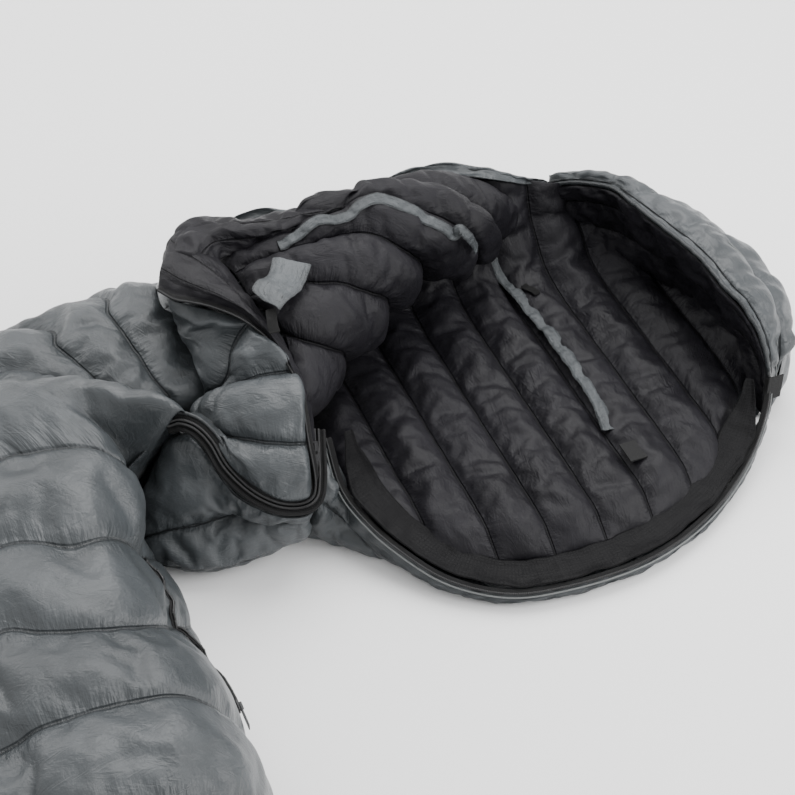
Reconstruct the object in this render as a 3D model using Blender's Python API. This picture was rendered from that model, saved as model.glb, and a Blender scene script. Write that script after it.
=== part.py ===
"""Mummy sleeping bag, lying unzipped with its torso flap thrown back over the knees.

The bag lies on a floor at z = 0. Its torso runs along X with the hood at +X, it bends at the knees
and its legs run along -Y. Every panel is laid out on seam lines, called ribs, that cross the bag
from its zip side to its back side. A rib is found by its station, counted in down chambers from
the hood. At the end everything is moved so that the middle of the bag's box is above the origin.
"""
import math

import bmesh
import bpy
from mathutils import Matrix, Vector

# Plan of the torso, in metres
hood_start = 0.385
chamber_pitch = 0.065
torso_chambers = 8
back_edge = 0.200
lobe_centre = 0.105
lobe_reach_right = 0.290
lobe_reach_left = 0.260
lobe_base = -0.170
lobe_depth = 0.210

# Plan of the knees and legs
knee_front = -0.205
knee_chambers = 2
bend_chambers = 3
bend_inner_radius = 0.030
knee_end = -0.340
leg_chambers = 6
leg_pitch = 0.125
leg_zip_taper = 0.050
leg_back_taper = 0.075
foot_length = 0.175

# Heights and thicknesses
shell_thickness = 0.0020
skin_thickness = 0.0010
skin_gap = 0.0006
touch_gap = 0.0003
chamber_crest = 0.056
chamber_groove = 0.034
cavity_height = 0.052
top_loft = 0.056
top_dip = 0.026
wall_width = 0.055
tube_width = 0.040
stiffener_width = 0.038
stiffener_height = 0.018
edge_ramp = 0.036
top_edge_rise = 0.018
fold_room = 0.010
knee_zip_room = 0.050
leg_zip_room = 0.015

# Flap
fold_start = Vector((hood_start - torso_chambers * chamber_pitch - 0.041, knee_front + 0.026))
fold_heading = math.radians(38.2)
fold_offset = 0.045
flap_first = 0.050
flap_pitch = 0.082
flap_chambers = 5
flap_reach = 0.215
flap_loft = 0.074
flap_dip = 0.030
flap_lift = 0.0025
flap_edge_share = 0.25
flap_tape_rise = 0.010
flap_tape_sink = 0.009

# Hood
hood_height = 0.182
hood_roof = 0.050
hood_wall = 0.052
hood_wall_slope = 0.50
hood_outline_steps = (
    (-0.110, 0.000), (-0.025, -0.003), (0.045, -0.038), (0.087, -0.108),
    (0.103, -0.200), (0.099, -0.290), (0.070, -0.365), (0.025, -0.412),
)
rim_outline_steps = (
    (-0.110, -0.082), (-0.067, -0.100), (-0.035, -0.145), (-0.021, -0.200),
    (-0.015, -0.260), (-0.009, -0.315), (-0.003, -0.355), (0.003, -0.390),
)
hood_outline = [(hood_start + x, back_edge + y) for x, y in hood_outline_steps]
rim_outline = [(hood_start + x, back_edge + y) for x, y in rim_outline_steps]

# Zip
tape_width = 0.016
tape_thickness = 0.0012
coil_width = 0.0040
coil_height = 0.0022
slider_length = 0.013
slider_play = 0.0006
slider_plate = 0.0014
bridge_height = 0.0042
bridge_width = 0.0024
pull_length = 0.030
pull_width = 0.0085
pull_thickness = 0.0012

# Tabs and tapes
collar_tape_width = 0.018
tape_fabric = 0.0012
hook_square = 0.022
flap_tab_length = 0.072
flap_tab_width = 0.042
hood_tab_length = 0.036
hood_tab_width = 0.020
hook_front = -0.236
collar_tape_step = 0.012
label_step = 0.024
label_back = 0.060
grip_tab_along = 0.124
grip_tab_across = 0.138
grip_tab_turn = math.radians(196.7)
hood_tab_top = 0.095
sleeve_radius = 0.0055
sleeve_length = 0.022
leg_zip_run = 0.150

last_knee = torso_chambers + knee_chambers
last_bend = last_knee + bend_chambers
last_leg = last_bend + leg_chambers
torso_end = hood_start - torso_chambers * chamber_pitch
knee_pitch = (torso_end - knee_end) / knee_chambers
pivot = Vector((knee_end, knee_front - bend_inner_radius))
bend_outer_radius = back_edge - pivot.y
chamber_base = shell_thickness + touch_gap
cavity_top = chamber_crest + skin_gap + skin_thickness + cavity_height
lining_top = cavity_top + skin_thickness
top_base = lining_top + touch_gap
top_crest = top_base + top_loft
top_skin = top_crest + skin_gap + skin_thickness
hinge_height = top_skin + flap_lift
along_fold = Vector((math.cos(fold_heading), math.sin(fold_heading)))
across_fold = Vector((-along_fold.y, along_fold.x))
chamber_rows = (0.0, 0.14, 0.36, 0.64, 0.86)


def clear_scene():
    for obj in list(bpy.data.objects):
        bpy.data.objects.remove(obj, do_unlink=True)


def finish(name, color, roughness, metallic=0.0):
    """A Principled material with the piece's own colour."""
    material = bpy.data.materials.new(name)
    material.use_nodes = True
    shader = material.node_tree.nodes["Principled BSDF"]
    shader.inputs["Base Color"].default_value = (*color, 1.0)
    shader.inputs["Roughness"].default_value = roughness
    shader.inputs["Metallic"].default_value = metallic
    return material


def add_piece(name, bm, material, smooth=True):
    """Makes an object from a bmesh, with its faces turned outwards."""
    bmesh.ops.recalc_face_normals(bm, faces=bm.faces)
    mesh = bpy.data.meshes.new(name)
    bm.to_mesh(mesh)
    bm.free()
    if smooth:
        mesh.shade_smooth()
        mesh.set_sharp_from_angle(angle=math.radians(40))
    mesh.materials.append(material)
    piece = bpy.data.objects.new(name, mesh)
    bpy.context.scene.collection.objects.link(piece)
    return piece


def slab(name, lower, upper, material):
    """A closed body between two grids of points with the same rows and columns."""
    bm = bmesh.new()
    low = [[bm.verts.new(point) for point in row] for row in lower]
    high = [[bm.verts.new(point) for point in row] for row in upper]
    rows = len(low)
    columns = len(low[0])
    for i in range(rows - 1):
        for j in range(columns - 1):
            bm.faces.new((high[i][j], high[i + 1][j], high[i + 1][j + 1], high[i][j + 1]))
            bm.faces.new((low[i][j], low[i + 1][j], low[i + 1][j + 1], low[i][j + 1]))
    rim = [(i, 0) for i in range(rows - 1)]
    rim += [(rows - 1, j) for j in range(columns - 1)]
    rim += [(i, columns - 1) for i in range(rows - 1, 0, -1)]
    rim += [(0, j) for j in range(columns - 1, 0, -1)]
    for (i, j), (k, m) in zip(rim, rim[1:] + rim[:1]):
        bm.faces.new((low[i][j], low[k][m], high[k][m], high[i][j]))
    return add_piece(name, bm, material)


def extrude(bm, faces, step):
    """Extrudes faces by a vector and keeps them as the near end of a closed body."""
    grown = bmesh.ops.extrude_face_region(bm, geom=faces, use_keep_orig=len(faces) > 1)
    moved = [item for item in grown["geom"] if isinstance(item, bmesh.types.BMVert)]
    bmesh.ops.translate(bm, verts=moved, vec=step)


def block(name, outline, bottom, top, material):
    """A flat-topped solid on a plan outline."""
    bm = bmesh.new()
    base = bm.faces.new([bm.verts.new((x, y, bottom)) for x, y in outline])
    extrude(bm, [base], (0, 0, top - bottom))
    return add_piece(name, bm, material)


def box(bm, low, high):
    """Adds a box to a bmesh from its lowest and highest corners."""
    middle = (Vector(low) + Vector(high)) / 2
    size = Vector(high) - Vector(low)
    bmesh.ops.create_cube(bm, size=1, matrix=Matrix.Translation(middle) @ Matrix.Diagonal((*size, 1)))


def smooth_points(points, steps):
    """Points on a smooth curve through the given ones, with so many steps between two of them."""
    found = []
    padded = [2 * points[0] - points[1]] + list(points) + [2 * points[-1] - points[-2]]
    for a, b, c, d in zip(padded, padded[1:], padded[2:], padded[3:]):
        for k in range(steps):
            t = k / steps
            found.append(0.5 * (2 * b + (c - a) * t + (2 * a - 5 * b + 4 * c - d) * t ** 2
                                + (3 * b - a - 3 * c + d) * t ** 3))
    return found + [points[-1].copy()]


def arch(fraction):
    """Height of a puffed chamber from its seam, 0, to its crest, 1, straight between its rows."""
    marks = (*chamber_rows, 1.0)
    heights = [math.sin(math.pi * mark) ** 0.7 if 0.0 < mark < 1.0 else 0.0 for mark in marks]
    for near, far, low, high in zip(marks, marks[1:], heights, heights[1:]):
        if fraction <= far:
            return low + (high - low) * (fraction - near) / (far - near)
    return 0.0


def front_edge(x):
    """Zip edge of the open bottom panel: a half ellipse that runs into the knees' straight front."""
    reach = lobe_reach_right if x > lobe_centre else lobe_reach_left
    share = min(abs(x - lobe_centre) / reach, 1.0)
    return min(lobe_base - lobe_depth * math.sqrt(1 - share ** 2), knee_front)


def rib(station):
    """Zip-side and back-side ends of the seam line at a station."""
    if station <= torso_chambers:
        x = hood_start - station * chamber_pitch
        return Vector((x, front_edge(x))), Vector((x, back_edge))
    if station <= last_knee:
        x = torso_end - (station - torso_chambers) * knee_pitch
        return Vector((x, knee_front)), Vector((x, back_edge))
    if station <= last_bend:
        angle = math.pi / 2 * (1 + (station - last_knee) / bend_chambers)
        heading = Vector((math.cos(angle), math.sin(angle)))
        return pivot + bend_inner_radius * heading, pivot + bend_outer_radius * heading
    down = station - last_bend
    share = down / leg_chambers
    y = pivot.y - down * leg_pitch
    zip_side = pivot.x - bend_inner_radius - leg_zip_taper * share
    back_side = pivot.x - bend_outer_radius + leg_back_taper * share
    return Vector((zip_side, y)), Vector((back_side, y))


def torso_back_inset(x):
    """Width left at the back of a torso rib for the side wall, and for the hood's curved wall."""
    return wall_width + touch_gap + hood_wall_slope * max(x - hood_outline[0][0], 0.0)


def fold_line(x):
    """Where the fold of the flap crosses a torso rib."""
    start = fold_start + fold_offset * across_fold
    return start.y + (x - start.x) * math.tan(fold_heading)


def top_rib(station):
    """Ends of a rib of the upper panel, which stops at the fold and at the zip."""
    zip_end, back_end = rib(station)
    if station <= last_knee:
        zip_end.y = max(fold_line(zip_end.x) + fold_room, knee_front + knee_zip_room)
        return zip_end, back_end
    share = min((station - last_knee) / bend_chambers, 1.0)
    heading = (back_end - zip_end).normalized()
    return zip_end + heading * (knee_zip_room + (leg_zip_room - knee_zip_room) * share), back_end


def inset(ends, zip_inset, back_inset):
    """A rib's ends, each drawn in towards the other."""
    zip_end, back_end = ends
    heading = (back_end - zip_end).normalized()
    return zip_end + heading * zip_inset, back_end - heading * back_inset


def stations(first, last):
    """Rows of a panel: five to a chamber, with the two outer seams drawn in by the touch gap."""
    rows = [k + part for k in range(first, last) for part in chamber_rows] + [last]
    rows[0] += touch_gap / chamber_pitch
    rows[-1] -= touch_gap / chamber_pitch
    return rows


def lie(ends, share, height):
    """A point on a rib at a height."""
    zip_end, back_end = ends
    flat = zip_end.lerp(back_end, share)
    return Vector((flat.x, flat.y, height))


def torso_height(station, away):
    """Top of the torso's bottom chambers: flat and low under the stiffener, puffed behind it."""
    puffed = chamber_groove + (chamber_crest - chamber_groove) * arch(station % 1.0)
    rise = min(max((away - stiffener_width) / edge_ramp, 0.0), 1.0)
    return stiffener_height + (puffed - stiffener_height) * rise * rise * (3 - 2 * rise)


def torso_grid(rows, lift, under_stiffener):
    """Points over the torso's bottom chambers, from the zip edge or from behind the stiffener."""
    grid = []
    for station in rows:
        ends = rib(station)
        ends = inset(ends, 0.0, torso_back_inset(ends[0].x))
        width = (ends[1] - ends[0]).length
        behind = stiffener_width + edge_ramp
        marks = [0.0] if under_stiffener else []
        marks += [stiffener_width, stiffener_width + edge_ramp / 2]
        marks += [behind + (width - behind) * k / 4 for k in range(5)]
        grid.append([lie(ends, mark / width, torso_height(station, mark) + lift) for mark in marks])
    return grid


def flat_copy(grid, height):
    return [[Vector((point.x, point.y, height)) for point in row] for row in grid]


def raised(grid, rise):
    return [[point + Vector((0, 0, rise)) for point in row] for row in grid]


def panel_grid(rows, ends_of, crest, groove, edge, shares):
    """Points over a puffed panel whose chambers sink at their seams and at both ends."""
    grid = []
    for station in rows:
        ends = ends_of(station)
        puffed = groove + (crest - groove) * arch(station % 1.0)
        swells = [min(1.0, 1.6 * math.sin(math.pi * share)) for share in shares]
        grid.append([lie(ends, share, edge + (puffed - edge) * swell)
                     for share, swell in zip(shares, swells)])
    return grid


def hood_pairs():
    """Matching points of the hood's outer contour and of its rim."""
    outer = smooth_points([Vector(p) for p in hood_outline], 3)
    rim = smooth_points([Vector(p) for p in rim_outline], 3)
    return list(zip(outer, rim))


def hood_ring(distance):
    """Plan points at a distance in from the hood's outer contour, from the back to the zip side."""
    ring = []
    for outer, rim in hood_pairs():
        inward = rim - outer
        ring.append(outer + inward.normalized() * min(distance, 0.8 * inward.length))
    return ring


def torso_bottom(mats):
    """Shell, separate down chambers, lining and stiffener of the torso's bottom panel."""
    edge = [rib(torso_chambers * k / 24)[0] for k in range(25)]
    around_hood = hood_ring(shell_thickness + touch_gap)
    outline = [*edge, Vector((torso_end - touch_gap, back_edge)), *around_hood]
    block("shell_torso", outline, 0.0, shell_thickness, mats["shell"])
    for number in range(torso_chambers):
        rows = stations(number, number + 1)
        top = torso_grid(rows, 0.0, True)
        slab(f"down_torso_{number + 1}", flat_copy(top, chamber_base), top, mats["down"])
    rows = stations(0, torso_chambers)
    top = torso_grid(rows, skin_gap, False)
    slab("lining_torso", top, raised(top, skin_thickness), mats["lining"])
    band = []
    for row in rows:
        zip_end, back_end = rib(row)
        spots = (zip_end, inset((zip_end, back_end), stiffener_width - skin_gap, 0.0)[0])
        band.append([Vector((*spot, stiffener_height + skin_gap)) for spot in spots])
    slab("stiffener_band", band, raised(band, tape_fabric), mats["stiffener"])


def foot_line(scale, drop):
    """Plan points round the foot end, from the zip side, at a share of its full size."""
    zip_end, back_end = rib(last_leg)
    middle = (zip_end + back_end) / 2
    half = (zip_end.x - middle.x) * scale
    turns = [math.pi * k / 10 for k in range(11)]
    return [Vector((middle.x + half * math.cos(turn),
                    middle.y - drop - foot_length * scale * math.sin(turn))) for turn in turns]


def leg_bottom(mats):
    """Shell, down and lining under the knees and the legs."""
    sections = (("knee", torso_chambers, last_bend), ("leg", last_bend, last_leg))
    shares = (0.0, 0.12, 0.35, 0.65, 0.88, 1.0)

    def ends_of(station):
        return inset(rib(station), tube_width + touch_gap, wall_width + touch_gap)

    for name, first, last in sections:
        rows = stations(first, last)
        toe = foot_line(0.98, 0.0) if last == last_leg else []
        rim = [rib(row)[0] for row in rows] + toe + [rib(row)[1] for row in reversed(rows)]
        block(f"shell_{name}_bottom", rim, 0.0, shell_thickness, mats["shell"])
        top = panel_grid(rows, ends_of, chamber_crest, chamber_groove, chamber_groove, shares)
        slab(f"down_{name}_bottom", flat_copy(top, chamber_base), top, mats["down"])
        over = raised(top, skin_gap)
        slab(f"lining_{name}_bottom", over, raised(over, skin_thickness), mats["lining"])


def edge_wall(name, rows, side, width, material):
    """A baffle as high as the cavity, along the zip side (0) or the back side (1) of the ribs."""
    outer = [rib(row)[side] for row in rows]
    inner = [inset(rib(row), width, width)[side] for row in rows]
    block(name, outer + inner[::-1], chamber_base, cavity_top - touch_gap, material)


def side_walls(mats):
    """Side block baffles along the back and the draft tube along the zip side."""
    hood_end = (hood_start - hood_outline[0][0] + 2 * touch_gap) / chamber_pitch
    knee = stations(torso_chambers, last_bend)
    leg = (last_bend + touch_gap / leg_pitch, last_leg - touch_gap / leg_pitch)
    edge_wall("wall_torso", (hood_end, torso_chambers - 2 * touch_gap / chamber_pitch), 1,
              wall_width, mats["down"])
    edge_wall("wall_knee", knee, 1, wall_width, mats["down"])
    edge_wall("wall_leg", leg, 1, wall_width, mats["down"])
    edge_wall("draft_tube_knee", knee[2:], 0, tube_width, mats["lining"])
    edge_wall("draft_tube_leg", leg, 0, tube_width, mats["lining"])


def top_panel(mats):
    """Lining, down and shell of the closed upper panel, from the fold to the ankles."""
    fold_first = 3
    shares = (0.0, 0.1, 0.3, 0.5, 0.7, 0.9, 1.0)
    edge = top_base + top_edge_rise
    groove = top_crest - top_dip
    all_rows = stations(fold_first, last_leg)
    flat = [[lie(top_rib(row), share, cavity_top) for share in shares] for row in all_rows]
    slab("lining_upper", flat, raised(flat, skin_thickness), mats["lining"])
    top = panel_grid(all_rows, top_rib, top_crest, groove, edge, shares)
    skin = raised(top, skin_gap)
    slab("shell_upper", skin, raised(skin, skin_thickness), mats["shell"])
    sections = (("fold", fold_first, torso_chambers), ("knee", torso_chambers, last_bend),
                ("leg", last_bend, last_leg))
    for name, first, last in sections:
        rows = stations(first, last)
        top = panel_grid(rows, top_rib, top_crest, groove, edge, shares)
        slab(f"down_{name}_upper", flat_copy(top, top_base), top, mats["down"])


def loft(name, loops, material):
    """A closed body through loops of points that lie one above another, capped at both ends."""
    bm = bmesh.new()
    rings = [[bm.verts.new(point) for point in loop] for loop in loops]
    for lower, upper in zip(rings, rings[1:]):
        for k in range(len(lower)):
            after = (k + 1) % len(lower)
            bm.faces.new((lower[k], lower[after], upper[after], upper[k]))
    bm.faces.new(rings[0])
    bm.faces.new(rings[-1])
    return add_piece(name, bm, material)


def foot(mats):
    """Rounded foot box: its down block and the shell round it."""
    drop = 2 * touch_gap
    levels = ((chamber_base, 0.88), (0.05, 0.96), (0.11, 0.96), (0.15, 0.84), (top_crest, 0.50))
    loops = [[Vector((*p, z)) for p in foot_line(scale, drop)] for z, scale in levels]
    loft("down_foot", loops, mats["down"])
    inner = [[Vector((*p, z)) for p in foot_line(scale + 0.01, drop)] for z, scale in levels[:4]]
    outer = [[Vector((*p, z)) for p in foot_line(scale + 0.022, drop)] for z, scale in levels[:4]]
    slab("shell_foot", inner, outer, mats["shell"])


def hood(mats):
    """Down wall, overhanging visor, shell, lining, rim and floor of the hood."""
    roof_base = hood_height - hood_roof

    def ring(share, height):
        """Points at a share of the way from the outer contour to the rim."""
        return [Vector((*outer.lerp(rim, share), height)) for outer, rim in hood_pairs()]

    def level(distance, height):
        return [Vector((*point, height)) for point in hood_ring(distance)]

    skin = shell_thickness + touch_gap
    lining_near = hood_wall + touch_gap
    lining_base = chamber_crest + 3 * skin_thickness
    slab("down_hood_wall",
         [level(skin, chamber_base), level(hood_wall, chamber_base)],
         [level(skin, roof_base), level(hood_wall, roof_base)], mats["down"])
    inner_end = slice(2, -4)
    slab("lining_hood",
         [level(lining_near, lining_base)[inner_end],
          level(lining_near + skin_thickness, lining_base)[inner_end]],
         [level(lining_near, roof_base)[inner_end],
          level(lining_near + skin_thickness, roof_base)[inner_end]], mats["lining"])
    shares = (0.10, 0.50, 0.86)
    rises = (roof_base + 0.012, hood_height - 0.005, hood_height - 0.008)
    slab("down_hood_visor", [ring(share, roof_base + touch_gap) for share in shares],
         [ring(share, rise) for share, rise in zip(shares, rises)], mats["down"])
    slab("hood_rim", [ring(0.87, roof_base + 0.004), ring(0.995, roof_base + 0.008)],
         [ring(0.87, hood_height - 0.004), ring(0.995, hood_height - 0.008)], mats["shell"])
    under = [level(shell_thickness, touch_gap), level(shell_thickness, roof_base)]
    over = [level(0.0, touch_gap), level(0.0, roof_base)]
    for share, rise in zip(shares, rises):
        under.append(ring(share, rise + skin_gap))
        over.append(ring(share, rise + skin_gap + skin_thickness))
    slab("shell_hood", under, over, mats["shell"])
    start = hood_start + touch_gap
    floor = [point for point in hood_ring(lining_near + skin_thickness) if point.x > start + 0.004]
    outline = [Vector((start, floor[0].y)), *floor, Vector((start, floor[-1].y))]
    block("down_hood_floor", outline, chamber_base, chamber_crest - 0.006, mats["down"])


def flap_point(u, v, height):
    """A point of the flap, u along the fold from the zip and v away from it."""
    flat = fold_start + along_fold * u + across_fold * v
    return Vector((flat.x, flat.y, height))


def flap_depth(u):
    """How far the flap reaches from its fold: its own reach near the zip, then the bag's back edge."""
    to_back = (back_edge - fold_start.y - along_fold.y * u) / across_fold.y
    own = flap_reach + 0.04 * math.sin(math.pi * min((u - flap_first) / (2 * flap_pitch), 1.0))
    return min(own, to_back - 0.004)


def flap_grid(rows, shares, surface):
    grid = []
    for u in rows:
        depth = flap_depth(u)
        grid.append([flap_point(u, fold_offset + (depth - fold_offset) * share, surface(u, share))
                     for share in shares])
    return grid


def flap(mats):
    """The torso's upper panel, folded back: shell below, down, lining above, zip half and tapes."""
    under = hinge_height + flap_lift
    base = under + skin_thickness + touch_gap
    shares = (0.0, 0.08, 0.3, 0.55, 0.8, 0.94, 1.0)

    def surface(u, share):
        puffed = flap_loft - flap_dip * (1 - arch(((u - flap_first) / flap_pitch) % 1.0))
        ends = min(1.0, flap_edge_share + 1.5 * math.sin(math.pi * share))
        return base + puffed * ends

    def rows_of(first, count):
        rows = [flap_first + (first + k + part) * flap_pitch for k in range(count)
                for part in chamber_rows]
        rows.append(flap_first + (first + count) * flap_pitch)
        rows[0] += touch_gap
        rows[-1] -= touch_gap
        return rows

    pieces = []
    every = rows_of(0, flap_chambers)
    sheet = flap_grid(every, shares, lambda u, share: under)
    pieces.append(slab("shell_flap", sheet, raised(sheet, skin_thickness), mats["shell"]))
    for number in range(flap_chambers):
        top = flap_grid(rows_of(number, 1), shares, surface)
        pieces.append(slab(f"down_flap_{number + 1}", flat_copy(top, base), top, mats["down"]))
    top = flap_grid(every, shares, lambda u, share: surface(u, share) + skin_gap)
    pieces.append(slab("lining_flap", top, raised(top, skin_thickness), mats["lining"]))

    edge_height = base + flap_tape_rise
    edge = [flap_point(flap_first - 0.0006, v, edge_height) for v in (0.05, 0.09, 0.13, 0.17, 0.21)]
    side = Vector((*along_fold, 0)) * -tape_width
    tape = [edge, [p + side for p in edge]]
    pieces.append(slab("zip_tape_flap", tape, raised(tape, tape_thickness), mats["zip"]))
    inner = Vector((*along_fold, 0)) * -(tape_width - coil_width / 2)
    lift = Vector((0, 0, tape_thickness + touch_gap))
    coil = [[p + inner + lift for p in edge], [p + side + lift for p in edge]]
    pieces.append(slab("zip_coil_flap", coil, raised(coil, coil_height), mats["coil"]))

    middle = flap_first + 3 * flap_pitch
    crest = base + flap_loft - flap_tape_sink
    spots = (0.060, 0.085, 0.110, 0.135, 0.155)
    strip = [[flap_point(middle + side_step, v, crest) for v in spots]
             for side_step in (-collar_tape_width / 2, collar_tape_width / 2)]
    pieces.append(slab("collar_tape_flap", strip, raised(strip, tape_fabric), mats["tape"]))
    return pieces


def sweep(name, points, normals, width, thickness, lift, material):
    """A strip of rectangular section along a path, lying at a height along its normals."""
    bm = bmesh.new()
    loops = []
    for k, (point, normal) in enumerate(zip(points, normals)):
        ahead = (points[min(k + 1, len(points) - 1)] - points[max(k - 1, 0)]).normalized()
        sideways = ahead.cross(normal).normalized()
        upright = sideways.cross(ahead).normalized()
        corners = ((-0.5, 0), (0.5, 0), (0.5, 1), (-0.5, 1))
        loops.append([bm.verts.new(point + sideways * (a * width) + upright * (lift + b * thickness))
                      for a, b in corners])
    for near, far in zip(loops, loops[1:]):
        for k in range(4):
            bm.faces.new((near[k], near[(k + 1) % 4], far[(k + 1) % 4], far[k]))
    bm.faces.new(loops[0])
    bm.faces.new(loops[-1])
    return add_piece(name, bm, material)


def run(stops, steps):
    """Smooth points and normals through stops given as (place, normal)."""
    points = smooth_points([Vector(place) for place, _ in stops], steps)
    normals = smooth_points([Vector(normal).normalized() for _, normal in stops], steps)
    return points, [normal.normalized() for normal in normals]


def zip_lines():
    """Stops of the closed zip and of its open bottom half."""
    knee = torso_end
    front = knee_front
    leg = pivot.x - bend_inner_radius + 0.009
    closed = [
        ((knee - 0.041, front + 0.026, 0.150), (0, -0.74, 0.67)),
        ((knee - 0.046, front + 0.005, 0.127), (0, -0.74, 0.67)),
        ((knee - 0.051, front - 0.016, 0.104), (0, -0.80, 0.60)),
        ((knee - 0.080, front - 0.024, 0.096), (-0.10, -0.85, 0.50)),
        ((knee_end + 0.090, front - 0.008, 0.112), (-0.10, -0.75, 0.66)),
        ((knee_end + 0.057, front + 0.018, 0.140), (-0.10, -0.60, 0.80)),
        ((knee_end + 0.028, front + 0.040, 0.172), (0, -0.50, 0.87)),
        ((knee_end, front + 0.038, 0.184), (0.10, -0.35, 0.95)),
        ((knee_end - 0.022, front + 0.008, 0.168), (0.40, -0.35, 0.85)),
        ((leg + 0.002, front - 0.028, 0.125), (0.85, -0.15, 0.50)),
        ((leg, front - 0.060, 0.080), (1, 0, 0.15)),
        ((leg, front - 0.095, 0.056), (1, 0, 0)),
    ]
    lobe = [rib(torso_chambers * k / 14)[0] for k in range(15)]
    opened = [((knee - 0.023, front + 0.030, 0.140), (0.2, -0.5, 0.85)),
              ((knee - 0.011, front, 0.085), (0.5, -0.5, 0.70)),
              ((knee - 0.005, front - 0.040, 0.040), (0.3, -0.4, 0.87))]
    for spot in lobe[-2::-1]:
        away = (spot - Vector((lobe_centre, lobe_base))).normalized()
        place = spot + away * (tape_width / 2 + 0.0012)
        opened.append(((place.x, place.y, 0.022), (0, 0, 1)))
    return closed, opened


def slider(name, material):
    """A slider at the origin: X across the zip, Y along it, Z out of it; z = 0 is the tape's face."""
    inside = coil_width / 2 + slider_play
    roof = touch_gap + coil_height + slider_play
    bm = bmesh.new()
    outline = [(-inside - slider_plate, touch_gap), (-inside, touch_gap), (-inside, roof),
               (inside, roof), (inside, touch_gap), (inside + slider_plate, touch_gap),
               (inside + slider_plate, roof + slider_plate), (-inside - slider_plate, roof + slider_plate)]
    half = slider_length / 2
    base = bm.faces.new([bm.verts.new((x, -half, z)) for x, z in outline])
    extrude(bm, [base], (0, slider_length, 0))
    body = add_piece(name, bm, material, smooth=False)

    crown = roof + slider_plate
    bm = bmesh.new()
    reach = slider_length * 0.36
    post = 0.0014
    loop = [(-reach, crown - 0.0006), (-reach, crown + bridge_height), (reach, crown + bridge_height),
            (reach, crown - 0.0006), (reach - post, crown - 0.0006),
            (reach - post, crown + bridge_height - post), (post - reach, crown + bridge_height - post),
            (post - reach, crown - 0.0006)]
    base = bm.faces.new([bm.verts.new((-bridge_width / 2, y, z)) for y, z in loop])
    extrude(bm, [base], (bridge_width, 0, 0))
    bridge = add_piece(name + "_bridge_form", bm, material, smooth=False)
    bridge.hide_render = True
    bridge.display_type = "WIRE"
    bridge.parent = body
    union = body.modifiers.new("bridge", "BOOLEAN")
    union.operation = "UNION"
    union.solver = "EXACT"
    union.object = bridge
    return body, crown


def pull(name, crown, material):
    """A pull with a window round the slider's bridge, its cross bar on the local X axis."""
    bar = pull_thickness
    half = pull_width / 2
    side = bridge_width / 2 + 0.0007
    window = slider_length * 0.36 + 0.0030
    outline = [(-half, bar / 2), (half, bar / 2), (half, -pull_length), (-half, -pull_length)]
    hole = [(-side, -bar / 2), (side, -bar / 2), (side, -window), (-side, -window)]
    bm = bmesh.new()
    rings = [[bm.verts.new((x, y, -bar / 2)) for x, y in loop] for loop in (outline, hole)]
    faces = [bm.faces.new((rings[0][k], rings[0][(k + 1) % 4], rings[1][(k + 1) % 4], rings[1][k]))
             for k in range(4)]
    extrude(bm, faces, (0, 0, bar))
    return add_piece(name, bm, material, smooth=False)


def upright_frame(point, ahead, normal):
    """Matrix whose Y runs along the zip and whose Z is the tape's outward normal."""
    y_axis = ahead.normalized()
    x_axis = y_axis.cross(normal).normalized()
    z_axis = x_axis.cross(y_axis)
    turn = Matrix((x_axis, y_axis, z_axis)).transposed().to_4x4()
    return Matrix.Translation(point) @ turn


def zips(mats):
    """Tapes, coils, stops, sliders and pulls of the two-way zip."""
    closed, opened = zip_lines()
    points, normals = run(closed, 5)
    leg_end = Vector(closed[-1][0]) + Vector((0, -leg_zip_run, 0))
    points.append(leg_end)
    normals.append(Vector((1, 0, 0)))
    sweep("zip_tape_closed", points, normals, tape_width, tape_thickness, 0.0, mats["zip"])
    rise = tape_thickness + skin_gap
    sweep("zip_coil_closed", points, normals, coil_width, coil_height, rise, mats["coil"])
    points, normals = run(opened, 2)
    sweep("zip_tape_open", points, normals, tape_width, tape_thickness, 0.0, mats["zip"])
    sweep("zip_coil_open", points[4:], normals[4:], coil_width / 2, coil_height, rise, mats["coil"])

    top = Vector(closed[0][0])
    ahead = top - Vector(closed[2][0])
    spots = {
        "upper": (top - ahead.normalized() * slider_length * 0.6, ahead, Vector(closed[0][1])),
        "lower": (leg_end + Vector((0, 0.016, 0)), Vector((0, 1, 0)), Vector((1, 0, 0))),
    }
    for name, (place, heading, normal) in spots.items():
        frame = upright_frame(place, heading, normal)
        body, crown = slider(f"slider_{name}", mats["metal"])
        body.matrix_world = frame @ Matrix.Translation((0, 0, tape_thickness))
        tab = pull(f"pull_{name}", crown, mats["metal"])
        tab.parent = body
        tab.location = (0, 0, crown + bridge_height / 2 - 0.0005)


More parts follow.
